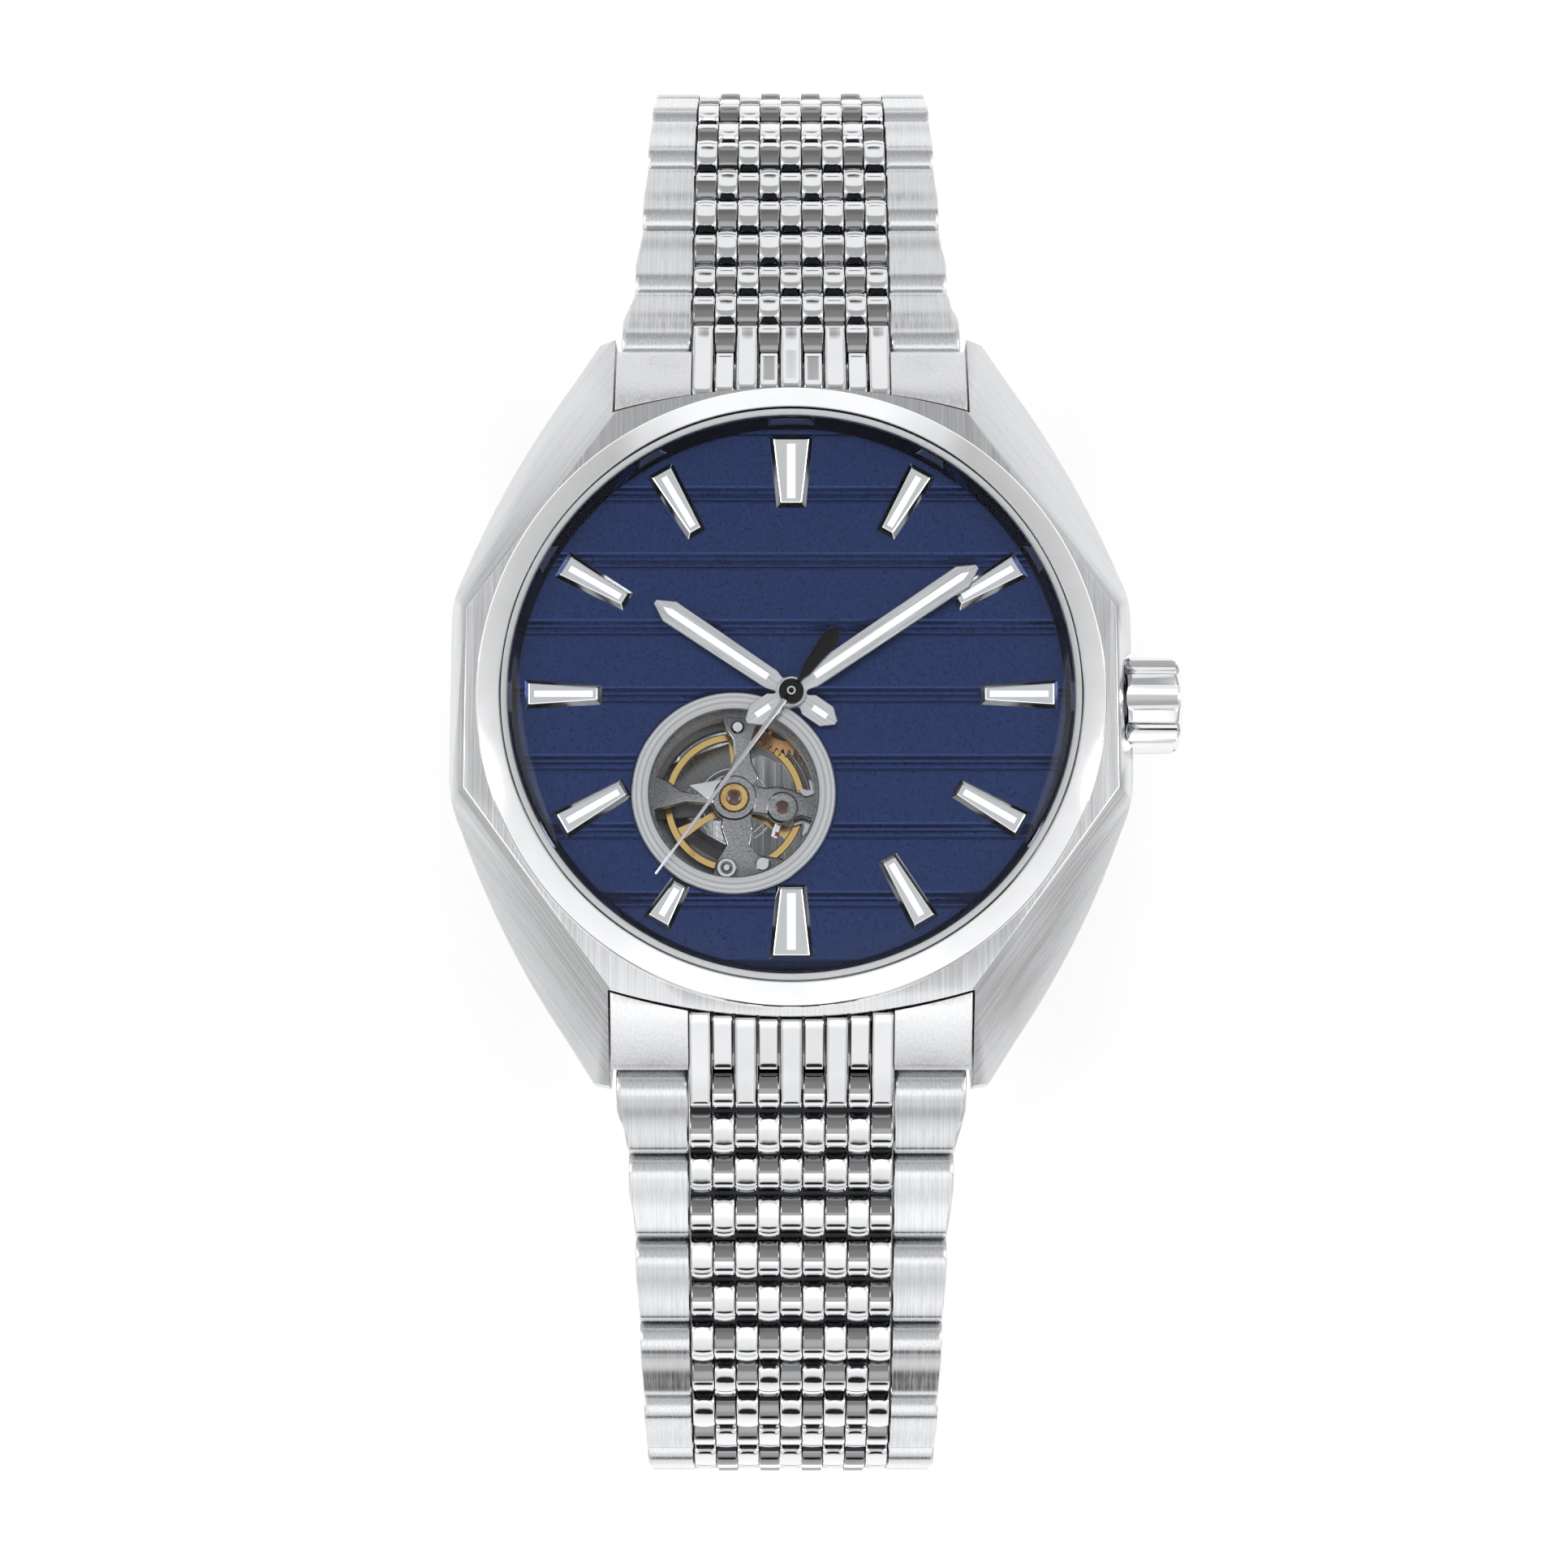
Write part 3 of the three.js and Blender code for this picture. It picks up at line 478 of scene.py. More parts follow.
def case_middle():
    body = prism("case_shell", case_outline(), CASE_BOTTOM, CASE_TOP)
    tip = [(LUG_TIP_Y - 1.2, CASE_BOTTOM - 0.1), (LUG_TIP_Y + 1, CASE_BOTTOM - 0.1), (LUG_TIP_Y + 1, 3.1)]
    for half in (0, 180):
        cut(
            body,
            spun(prism("space", lug_space(LUG_INNER_X, 18, 19.6, 30), -1, CASE_TOP + 1), half),
            spun(along_x("tip", tip, -30, 30), half),
            facet_cutter(FLANK_FACET_X, FLANK_FACET_SLOPE, half),
        )
    facing = math.radians(RIDGE_ANGLE)
    start = RIDGE[0] * math.cos(facing) + RIDGE[1] * math.sin(facing)
    for angle in (RIDGE_ANGLE, 180 - RIDGE_ANGLE, 180 + RIDGE_ANGLE, -RIDGE_ANGLE):
        cut(body, facet_cutter(start, FACET_SLOPE, angle))
    cut(
        body,
        lathe("bore", [(0, 0), (17.7, 0), (17.7, 2.3), (16.6, 2.3), (16.6, 9), (0, 9)], segments=128),
        drill_x(1.5, 15, 30),
        drill_x(3.5, 20.45, 30, 96),
    )
    return softened(body, 0.13)


def case_look_number(normal, _):
    if normal.z > 0.97:
        return 0
    if 0.6 < normal.z < 0.85 and abs(normal.y) > 0.25:
        return 1 if normal.x * normal.y > 0 else 2
    return 0


case_shell = case_middle()
paint(case_shell, [brushed_y, brushed_falling, brushed_rising], case_look_number)
settle(case_shell, "case", brushed_y, ["case_middle"])

bezel_steel = polished("steel_bezel", (0.84, 0.845, 0.855))
bezel = lathe("bezel_ring", [
    (17.7, 8.08), (19.15, 8.08), (19.2, 8.13), (19.2, 9.28), (19.17, 9.36), (19.1, 9.43),
    (17.88, 10.14), (17.82, 10.18), (17.76, 10.18), (17.7, 10.12),
], segments=220)
settle(bezel, "case", bezel_steel, ["bezel"], smooth=10)


def crystal():
    """A gently domed glass with a rounded, polished edge."""
    steps = 14
    profile = []
    for i in range(steps + 1):
        share = i / steps
        profile.append((17.2 * share, 10.9 - 1.0 * share ** 2))
    profile += [(17.2, 10.28), (17.12, 10.46), (16.95, 10.56)]
    for i in range(1, steps + 1):
        share = 1 - i / steps
        profile.append((16.95 * share, 12 - 1.44 * share ** 2))
    return lathe("crystal_dome", profile, segments=160)


settle(crystal(), "case", glass, ["crystal"], smooth=60)
crystal_seal = lathe("crystal_seal", [
    (17.25, 9.9), (17.64, 9.9), (17.64, 10.06), (17.58, 10.1), (17.3, 10.1), (17.25, 10.06),
])
settle(crystal_seal, "case", nylon, ["crystal_gasket"])
chapter_wall = lathe("chapter_wall", [
    (16.75, 8.66), (17.5, 8.66), (17.5, 9.8), (17.3, 9.8), (17.24, 9.76),
], segments=220)
settle(chapter_wall, "case", navy, ["chapter_ring"], smooth=20)


# ---- dial ----
def dial_plate():
    """The dial with raised double lines running across it, every 4.2 mm."""
    floor, crest = DIAL_TOP - 0.07, DIAL_TOP + 0.03
    line = [
        (-0.54, floor), (-0.48, floor - 0.09), (-0.43, floor - 0.09), (-0.37, floor), (-0.25, floor + 0.01),
        (-0.12, crest), (0.02, floor + 0.01), (0.17, crest), (0.31, floor + 0.01), (0.43, floor - 0.05),
        (0.56, floor),
    ]
    spacing, half = 4.2, 18
    section = [(-half, DIAL_TOP - 0.45), (-half, floor)]
    for k in range(-4, 5):
        section += [(spacing * k + y, z) for y, z in line if abs(spacing * k + y) < half - 0.1]
    section += [(half, floor), (half, DIAL_TOP - 0.45)]
    plate = along_x("dial_plate", section, -half, half)
    common(plate, lathe("rim", [(0.8, 8), (DIAL_RADIUS, 8), (DIAL_RADIUS, 9), (0.8, 9)], segments=160))
    hole = [(0, 7), (5.55, 7), (5.55, 8.4), (6.33, 8.4), (6.33, 9.5), (0, 9.5)]
    return cut(plate, lathe("hole", hole, APERTURE, 128))


settle(dial_plate(), "case", blue_face, ["dial"], smooth=5)


def marker(hour):
    """A faceted block with a recessed strip of lume, pointing to twelve; (block, lume)."""
    wide = hour in (0, 6)
    inner = {0: 11.7, 6: 11.7, 7: 13.3}.get(hour, 11.55)
    outer = 16.3
    near, far = (0.92, 1.37) if wide else (0.65, 0.93)
    bottom, shoulder, top = 8.5, 8.72, 8.98
    slope = 0.3
    bm = bmesh.new()

    def loop(inset, z):
        corners = [
            (-near + inset, inner + inset), (near - inset, inner + inset),
            (far - inset, outer - inset), (-far + inset, outer - inset),
        ]
        return [bm.verts.new((x, y, z)) for x, y in corners]

    loops = [loop(0, bottom), loop(0, shoulder), loop(slope, top)]
    bm.faces.new(loops[0][::-1])
    skin(bm, loops)
    bm.faces.new(loops[-1])
    block = softened(as_object("block", bm), 0.03, 1)
    half = 0.26 if wide else 0.19
    groove = box("groove", -half - 0.05, half + 0.05, inner + 0.5, outer - 0.55, top - 0.06, top + 1)
    cut(block, groove)
    strip = box("strip", -half, half, inner + 0.56, outer - 0.61, top - 0.08, top - 0.01)
    return spun(block, -30 * hour), spun(strip, -30 * hour)


blocks, strips = zip(*[marker(hour) for hour in range(12)])
settle(gathered("hour_markers", blocks), "case", bright_steel, smooth=5)
settle(gathered("hour_marker_lume", strips), "case", lume)

aperture_ring = lathe("aperture_frame", [
    (5.15, 8.15), (5.45, 8.15), (5.45, 8.66), (6.2, 8.66),
    (6.2, 8.9), (6.15, 8.95), (5.21, 8.95), (5.15, 8.89),
], APERTURE, 160)
# The frame's side walls take the near-black painted shade.
paint(aperture_ring, [ring_grooved, painted_shade_steel], lambda normal, _: int(normal.z < 0.3))
settle(aperture_ring, "case", ring_grooved, ["aperture_ring"])


# ---- hands ----
def baton(name, length, tail, bottom, top, hub, bore):
    """A pointed baton with bevelled edges, a waist at the hub and a pointed tail; (blade, lume)."""
    right = [
        (0.14, length), (0.74, length - 1.1), (0.66, 1.5), (0.5, 1.0), (0.5, -0.95),
        (0.74, -1.3), (0.74, -tail + 0.7), (0.14, -tail),
    ]
    outline = right + [(-x, y) for x, y in reversed(right)]
    blade = prism(name, outline[::-1], bottom, top)
    union(blade, drill(hub, bottom, top))
    softened(blade, 0.07, 1, 40)
    cut(blade, drill(bore, 7, 12, segments=40))
    low, high, outer = PLATE_TOP + 0.1, bottom + 0.02, bore + 0.15
    pipe = lathe("pipe", [(bore, low), (outer, low), (outer, high), (bore, high)], segments=40)
    blade = gathered(name, [blade, pipe])
    strip = [(0.0, length - 0.62), (0.2, length - 1.15), (0.2, 1.75), (-0.2, 1.75), (-0.2, length - 1.15)]
    heel = [(0.17, -1.6), (0.17, -2.6), (-0.17, -2.6), (-0.17, -1.6)]
    fill = [prism("fill", outline, top - 0.03, top + 0.012) for outline in (strip, heel)]
    return blade, gathered(name + "_lume", fill)


def add_baton(node, angle, *sizes):
    blade, fill = baton(node + "_blade", *sizes)
    steel = (0.64, 0.645, 0.655)
    brushed = grained(node + "_brushed", steel, 0.26, (9, 0.25, 9), 0.003, turn=-angle, contrast=0.2)
    settle(spun(blade, angle), node, brushed, [node])
    settle(spun(fill, angle), node, lume)


add_baton("hour_hand", HOUR_ANGLE, 10.1, 3.3, 9.05, 9.27, 0.95, 0.6)
add_baton("minute_hand", MINUTE_ANGLE, 13.8, 3.3, 9.47, 9.69, 0.95, 0.3)


def second_hand():
    bottom, top = 9.89, 10.09
    hub_profile = [(0, 9.88), (0.75, 9.88), (0.75, 10.03), (0.69, 10.09), (0, 10.09)]
    needle = prism("seconds_needle", [(0.16, 0), (0.07, 13.9), (-0.07, 13.9), (-0.16, 0)], bottom, top)
    right = [(0.0, -4.95), (0.44, -4.3), (0.52, -3.85), (0.3, -1.5), (0.14, -1.1), (0.14, -0.5)]
    arrow = prism("seconds_arrow", right + [(-x, y) for x, y in reversed(right[1:])], bottom, top)
    hub = lathe("seconds_hub", hub_profile, segments=64)
    cap = lathe("seconds_cap", [(0.15, 10.08), (0.28, 10.08), (0.26, 10.13), (0.17, 10.13)], segments=48)
    post = disc("seconds_post", 0.2, PLATE_TOP + 0.1, bottom, segments=32)
    return softened(needle, 0.04), softened(arrow, 0.04), hub, cap, post


needle, arrow, hub, cap, post = second_hand()
settle(spun(needle, SECOND_ANGLE), "second_hand", dark_edge, ["second_hand"])
settle(spun(arrow, SECOND_ANGLE), "second_hand", enamel)
settle(hub, "second_hand", enamel)
settle(cap, "second_hand", bright_steel)
settle(post, "second_hand", bright_steel)

# ---- movement seen through the opening ----
WHEEL_AT = {
    "center_wheel": (0, 0),
    "barrel": (-2.2, 5.05),
    "third_wheel": (3.0, -2.1),
    "fourth_wheel": (4.6, -5.1),
    "escape_wheel": (1.9, -6.6),
    "pallet_fork": (-0.57, -6.9),
    "balance_wheel": APERTURE,
}


def near_aperture(x, y):
    return (APERTURE[0] + x, APERTURE[1] + y)


BOSS = near_aperture(2.95, -0.6)


def screw(name, at, radius, top, height=0.35):
    """A polished screw head with a chamfered edge and a slot."""
    head = lathe(name, [
        (0, top - height), (radius, top - height), (radius, top - 0.08), (radius - 0.08, top), (0, top),
    ], at, 40)
    slot = box("slot", -radius, radius, -0.09, 0.09, top - 0.14, top + 0.1)
    return cut(head, moved(spun(slot, 37), at[0], at[1]))


def mainplate():
    low, high = PLATE_BOTTOM, PLATE_TOP
    base = lathe("mainplate_body", [(0.6, low), (12.7, low), (12.7, high - 0.1), (12.6, high), (0.6, high)])
    cut(base, drill(4.95, 5, 9, APERTURE, 96))
    arm_top, arm_low = high - 0.4, low + 0.35
    upper = [
        (0.8, 0.5), (1.6, 1.2), (1.1, 2.2), (0.95, 3.2), (1.3, 4.2), (1.7, 5.2), (-0.9, 5.2), (-0.6, 4.3),
        (-0.1, 3.6), (0.0, 2.6), (-0.2, 1.9), (-1.1, 0.9),
    ]
    left = [
        (-0.8, 0.3), (-2.1, 0.2), (-3.3, 0.5), (-4.1, 1.1), (-5.2, 1.6), (-5.2, -0.9), (-4.3, -0.6),
        (-3.0, -0.25), (-1.6, -0.35), (-0.8, -0.6),
    ]
    lower = [
        (-0.7, -0.7), (-0.85, -1.8), (-0.45, -2.9), (-1.0, -3.7), (-1.5, -5.1), (2.9, -5.1), (3.9, -4.2),
        (3.0, -3.75), (1.6, -3.5), (1.0, -2.9), (1.2, -1.9), (1.0, -0.7),
    ]
    right = [
        (0.9, -0.9), (2.1, -1.0), (3.0, -1.4), (4.2, -1.1), (5.2, -1.5), (5.2, 0.4), (4.4, 0.1), (3.6, 0.55),
        (2.6, 0.75), (2.0, 0.65), (0.8, 0.9),
    ]
    shells = [base]
    for outline in (upper, left, lower, right):
        arm = prism("arm", [near_aperture(x, y) for x, y in outline], arm_low, arm_top)
        shells.append(softened(arm, 0.16, 3, 20))
    for at, inner, outer, lift in ((BOSS, 0.42, 0.98, 0.38), (APERTURE, 0.95, 1.42, 0.42)):
        shells.append(lathe("collar", [
            (inner, arm_low), (outer, arm_low), (outer, high - lift), (outer - 0.12, high - lift + 0.12),
            (inner, high - lift + 0.12),
        ], at, 48 if at == BOSS else 64))
    return gathered("mainplate_body", shells)


plate_shell = paint(mainplate(), [blasted, bright_steel], lambda normal, _: int(0.25 < normal.z < 0.94))
settle(plate_shell, "case", blasted, ["mainplate"])

setting = lathe("jewel_collet", [
    (0.42, 6.05), (0.93, 6.05), (0.93, 7.0), (0.82, 7.1), (0.5, 7.1), (0.42, 7.02),
], APERTURE, 64)
settle(setting, "case", brass, ["jewel_setting"])
jewel = lathe("jewel_stone", [(0, 6.05), (0.42, 6.05), (0.42, 7.0), (0.3, 7.07), (0, 7.09)], APERTURE, 48)
settle(jewel, "case", ruby)
boss_jewel = lathe("boss_jewel", [(0, 6.2), (0.42, 6.2), (0.42, 7.0), (0.3, 7.06), (0, 7.06)], BOSS, 40)
settle(boss_jewel, "case", ruby)
index_outline = [near_aperture(x, y) for x, y in ((-0.8, 1.15), (-2.75, 0.77), (-1.3, -0.35), (-0.9, 0.3))]
index = prism("beat_index", index_outline, 6.75, 7.0)
settle(softened(index, 0.05), "case", bright_steel)
studs = [
    disc("stud_top", 0.42, 6.6, 7.28, near_aperture(0.2, 4.35), edge=0.12),
    ring("pin_ring", 0.34, 0.62, 6.6, 7.1, near_aperture(-0.45, -4.35), 48),
    disc("pin_bottom", 0.24, 6.5, 7.22, near_aperture(-0.45, -4.35), edge=0.06),
    screw("plate_screw", near_aperture(1.75, -4.1), 0.45, 7.12),
]
settle(gathered("plate_studs", studs), "case", bright_steel)


def gear(name, at, radius, teeth, level, hole_share=0.74, spokes=5, spoke=0.22, depth=0.32):
    """A spoked wheel with rounded teeth."""
    outline = []
    for i in range(teeth * 4):
        lift = (1, 1, 0, 0)[i % 4]
        angle = 2 * math.pi * (i + (0.25 if lift else 0)) / (teeth * 4)
        reach = radius - (0 if lift else depth)
        outline.append(polar(reach, angle))
    top = level + WHEEL_THICKNESS
    rim = prism(name, outline, level, top)
    hole = radius * hole_share
    cut(rim, drill(hole, 0, 9))
    shells = [rim]
    for i in range(spokes):
        arm = box("spoke", -spoke / 2, spoke / 2, 0.2, hole + 0.05, level + 0.02, top - 0.02)
        shells.append(spun(arm, 360 * i / spokes))
    shells.append(disc("wheel_hub", 0.62, level, top + 0.02, segments=40))
    return moved(gathered(name, shells), at[0], at[1])


def pinion(name, at, radius, leaves, bottom, top, extra=()):
    """A toothed pinion on its arbor between the plates."""
    outline = []
    for i in range(leaves * 2):
        angle = math.pi * i / leaves
        reach = radius if i % 2 else radius * 0.72
        outline += [polar(reach, angle + s) for s in (-0.12, 0.12)]
    arbor = disc("arbor", 0.22, BRIDGE_TOP + 0.05, PLATE_BOTTOM - 0.05, segments=24)
    return moved(gathered(name, [prism(name, outline, bottom, top), arbor, *extra]), at[0], at[1])


wheels = {
    "center_wheel": ("minute_hand", 3.2, 48, TRAIN_HIGH, copper),
    "third_wheel": ("third_wheel", 2.85, 44, TRAIN_MIDDLE, copper),
    "fourth_wheel": ("fourth_wheel", 2.55, 40, TRAIN_LOW, brass),
}
pinions = {
    "center_wheel": (0.8, 12, TRAIN_LOW - 0.05, TRAIN_LOW + 0.3),
    "third_wheel": (0.38, 8, TRAIN_HIGH - 0.05, TRAIN_HIGH + 0.25),
    "fourth_wheel": (0.38, 8, TRAIN_LOW + 0.1, TRAIN_MIDDLE + 0.25),
}
for node, (body, radius, teeth, level, look) in wheels.items():
    at = WHEEL_AT[node]
    settle(gear(node + "_rim", at, radius, teeth, level), body, look, [node])
    settle(pinion(node + "_pinion", at, *pinions[node]), body, bright_steel)


def escape_wheel():
    teeth = 15
    outline = []
    for i in range(teeth):
        start = 2 * math.pi * i / teeth
        pitch = 2 * math.pi / teeth
        for share, reach in ((0, 1.4), (0.35, 1.52), (0.66, 1.98), (0.75, 2.0), (0.8, 1.86)):
            outline.append(polar(reach, start + share * pitch))
    top = TRAIN_HIGH + WHEEL_THICKNESS
    rim = prism("escape_rim", outline, TRAIN_HIGH, top)
    cut(rim, drill(1.1, 0, 9, segments=48))
    shells = [rim]
    for angle in (0, 90):
        shells.append(spun(box("arm", -1.15, 1.15, -0.13, 0.13, TRAIN_HIGH + 0.02, top - 0.02), angle))
    shells.append(disc("escape_arbor", 0.3, BRIDGE_TOP + 0.05, PLATE_BOTTOM - 0.05, segments=32))
    return moved(gathered("escape_rim", shells), *WHEEL_AT["escape_wheel"])


settle(escape_wheel(), "escape_wheel", dark_edge, ["escape_wheel"])

barrel_drum = lathe("barrel_drum", [
    (0, 4.35), (4.45, 4.35), (4.6, 4.45), (4.6, 4.62), (4.35, 4.66), (4.35, 5.12), (4.25, 5.2), (1.2, 5.2),
    (1.2, 5.14), (1.0, 5.14), (1.0, 5.7), (0, 5.7),
], WHEEL_AT["barrel"], 120)
settle(barrel_drum, "barrel", brass, ["barrel"])


def pallet_fork():
    low, high = TRAIN_HIGH, TRAIN_HIGH + WHEEL_THICKNESS
    arms = prism("fork", [
        (-0.28, -1.5), (0.1, -1.55), (0.12, -0.5), (0.2, 0), (0.12, 0.5), (0.1, 1.55), (-0.28, 1.5),
        (-0.22, 0.4), (-1.7, 0.12), (-1.85, 0.3), (-2.1, 0.28), (-2.0, 0), (-2.1, -0.28), (-1.85, -0.3),
        (-1.7, -0.12), (-0.22, -0.4),
    ], low, high)
    arbor = disc("fork_arbor", 0.22, low - 0.15, PLATE_BOTTOM - 0.05, segments=24)
    body = gathered("pallet_lever", [softened(arms, 0.03), arbor])
    stones = [box("stone", -0.1, 0.16, y - 0.14, y + 0.14, low + 0.02, high + 0.03) for y in (-1.3, 1.3)]
    return body, softened(gathered("pallet_stones", stones), 0.03)


lever, stones = pallet_fork()
for part in (lever, stones):
    moved(spun(part, -15), *WHEEL_AT["pallet_fork"])
settle(lever, "pallet_fork", bright_steel, ["pallet_fork"])
settle(stones, "pallet_fork", pallet_ruby)


def balance():
    """A rim with three arms, in gold."""
    rim = lathe("balance_rim", [
        (3.86, 4.64), (3.92, 4.6), (4.3, 4.6), (4.36, 4.66),
        (4.36, 4.94), (4.3, 5.0), (3.92, 5.0), (3.86, 4.94),
    ], segments=128)
    arms = []
    for i in range(3):
        outline = [(-0.28, 0.3), (0.28, 0.3), (0.17, 2.2), (0.4, 3.95), (-0.4, 3.95), (-0.17, 2.2)]
        arms.append(spun(prism("arm", outline, 4.7, 4.9), 120 * i))
    hub = disc("balance_hub", 0.75, 4.66, 4.98, segments=40)
    staff = lathe("balance_staff", [
        (0, 4.0), (0.12, 4.0), (0.25, 4.15), (0.25, 5.0), (0.45, 5.05), (0.45, 5.1), (0.3, 5.2), (0.3, 5.85),
        (0.1, 5.95), (0, 5.95),
    ], segments=32)
    return moved(gathered("balance_rim", [rim, *arms, hub]), *APERTURE), moved(staff, *APERTURE)


balance_rim, staff = balance()
settle(balance_rim, "balance", gold, ["balance_wheel"])
settle(staff, "balance", bright_steel)


def hairspring():
    """A flat spiral strip."""
    bm = bmesh.new()
    loops = []
    turns, steps = 5, 260
    corners = ((-0.03, -0.05), (0.03, -0.05), (0.03, 0.05), (-0.03, 0.05))
    for i in range(steps + 1):
        angle = turns * 2 * math.pi * i / steps
        radius = 0.75 + 1.75 * i / steps
        loops.append([bm.verts.new((*polar(radius + dr, angle), 4.35 + dz)) for dr, dz in corners])
    bm.faces.new(loops[0])
    skin(bm, loops)
    bm.faces.new(loops[-1])
    return moved(as_object("hairspring_coil", bm), *APERTURE)


settle(hairspring(), "balance", dark_edge, ["hairspring"])

cock = prism("cock_arm", [
    (-6.0, -0.8), (-5.4, -0.95), (-2.5, -0.7), (0, -1.1), (0.78, -0.78), (1.1, 0), (0.78, 0.78), (0, 1.1),
    (-2.5, 0.7), (-5.4, 0.95), (-6.0, 0.8),
], 3.5, 3.85)
cock = gathered("cock_arm", [
    softened(cock, 0.05),
    disc("cock_foot", 0.8, 3.6, PLATE_BOTTOM - 0.05, (-5.4, 0)),
    disc("cock_screw", 0.5, 3.42, 3.6, (-5.4, 0), edge=0.06),
])
settle(moved(cock, *APERTURE), "case", bridge_steel, ["balance_cock"])


BRIDGE_JEWELS = [WHEEL_AT["third_wheel"], WHEEL_AT["fourth_wheel"]]
BRIDGE_SCREWS = [(0.0, 7.4), (-8.6, 3.6), (8.4, 3.2)]


def train_bridge():
    bridge = drill(12.3, BRIDGE_BOTTOM, BRIDGE_TOP, segments=128)
    bridge.name = "bridge_plate"
    cut(
        bridge,
        drill(4.7, 0, 9, APERTURE, 96),
        box("corner", -14, APERTURE[0], -14, APERTURE[1] + 1.1, 0, 9),
    )
    softened(bridge, 0.12, 2, 40)
    for at in BRIDGE_JEWELS + BRIDGE_SCREWS:
        cut(bridge, lathe("sink", [(0, 3.3), (0.75, 3.3), (0.6, 3.75), (0, 3.75)], at, 40))
    return bridge


settle(train_bridge(), "case", bridge_steel, ["train_bridge"])
bridge_screws = [screw("bridge_screw", at, 0.55, 3.74, 0.2) for at in BRIDGE_SCREWS]
bridge_jewels = [disc("bridge_jewel", 0.5, 3.6, 3.74, at, 40) for at in BRIDGE_JEWELS]
settle(gathered("bridge_screws", bridge_screws), "case", bright_steel)
settle(gathered("bridge_jewels", bridge_jewels), "case", ruby)

bearing = lathe("bearing_hub", [
    (0, 1.6), (1.1, 1.6), (1.3, 1.7), (1.3, 1.85), (1.85, 1.9), (1.9, 1.95), (1.9, 2.15), (1.3, 2.15),
    (1.3, 3.45), (0, 3.45),
], segments=64)
settle(bearing, "case", bright_steel, ["rotor_bearing"])


def rotor():
    """A half disc with openings, a heavy bevelled rim and a hub."""
    web = lathe("rotor_weight", [(0, 2.3), (12, 2.3), (12, 2.6), (0, 2.6)], segments=160)
    union(web, lathe("rim", [
        (10.4, 2.36), (10.46, 2.3), (12.1, 2.3), (12.3, 2.45),
        (12.3, 3.2), (12.25, 3.25), (10.45, 3.25), (10.4, 3.2),
    ]))
    common(web, box("half", -14, 14, -14, -0.5, 0, 9))
    union(web, lathe("rotor_hub", [(0, 2.3), (2.6, 2.3), (2.6, 2.75), (2.55, 2.8), (0, 2.8)], segments=64))
    for side in (-1, 1):
        arc = [(side * (3.6 + 5.6 * t), -1.9 - 0.6 * math.sin(math.pi * t)) for t in (0, 0.25, 0.5, 0.75, 1)]
        outer = [(9.4 * math.cos(a) * side, -9.4 * math.sin(a)) for a in (0.35, 0.6, 0.85, 1.1, 1.35)]
        inner = [(3.3 * math.cos(a) * side, -3.3 * math.sin(a)) for a in (1.3, 0.95, 0.6)]
        outline = arc + outer + inner
        cut(web, prism("opening", outline if side > 0 else outline[::-1], 0, 9))
    cut(web, drill(1.45, 0, 9))
    return softened(web, 0.07, 2, 35)


settle(spun(rotor(), ROTOR_ANGLE), "rotor", rotor_grooved, ["rotor"])

holder = ring("movement_holder", 12.9, 16.45, 4, 7.9)
cut(holder, drill_x(0.8, 12, 20))
settle(holder, "case", plastic, ["movement_ring"])


# ---- case back ----
def case_back():
    back = lathe("back_ring", [
        (12.55, 0.05), (12.6, 0), (16.85, 0), (17.05, 0.1), (17.45, 0.55), (17.5, 0.65), (17.5, 2.1),
        (12.0, 2.1), (12.0, 1.35), (12.55, 1.35),
    ], segments=180)
    for i in range(6):
        cut(back, spun(softened(box("notch", -0.9, 0.9, 15.6, 18, -1, 0.45), 0.12), 60 * i))
    return back


back_grooved = concentric("back_grooved", STEEL, 0.3, (0, 0), 6, 0.004)
settle(case_back(), "case", back_grooved, ["case_back"])
window = lathe("back_glass", [
    (0, 0.0), (12.2, 0.0), (12.4, 0.1), (12.4, 1.15), (12.3, 1.2), (0, 1.2),
], segments=128)
settle(window, "case", glass, ["back_window"])


# ---- crown ----
def crown():
    """A pull-out crown with eight wide round flutes."""
    length = CROWN_OUTER - CROWN_INNER
    shell = lathe("crown_knob", [
        (0, 0), (2.6, 0), (2.85, 0.1), (CROWN_RADIUS, 0.35), (CROWN_RADIUS, length - 0.6),
        (2.93, length - 0.38), (2.72, length - 0.16), (2.4, length - 0.03), (2.1, length), (0, length),
    ], segments=128)
    flute = [(0, -1), (1.05, -1), (1.05, length - 0.35), (0.8, length - 0.05), (0, length + 0.2)]
    flute_centre = 3.62
    for i in range(8):
        cut(shell, lathe("flute", flute, polar(flute_centre, math.radians(45 * i)), 48))
    cut(shell, drill(2.0, -1, 1.1, segments=160), drill(0.55, 0, 2, segments=48))
    softened(shell, 0.07, 2, 32)
    shell.data.transform(Matrix.Translation((CROWN_INNER, 0, CROWN_Z)) @ Matrix.Rotation(math.pi / 2, 4, "Y"))
    return shell


settle(crown(), "crown", bright_steel, ["crown"])
stem = rod_x("stem_rod", [(0, 9), (0.36, 9), (0.42, 9.1), (0.42, 22.45), (0, 22.45)], 40)
settle(stem, "crown", brushed_x, ["winding_stem"])
tube = rod_x("tube_sleeve", [(0.7, 16.7), (1.35, 16.7), (1.35, 21.22), (1.28, 21.3), (0.7, 21.3)], 64)
settle(tube, "case", brushed_x, ["crown_tube"])
seal = rod_x("crown_seal", [
    (1.45, 20.85), (1.53, 20.8), (1.82, 20.8), (1.9, 20.88),
    (1.9, 21.12), (1.82, 21.2), (1.53, 21.2), (1.45, 21.15),
], 64)
settle(seal, "crown_slide", rubber, ["crown_gasket"])


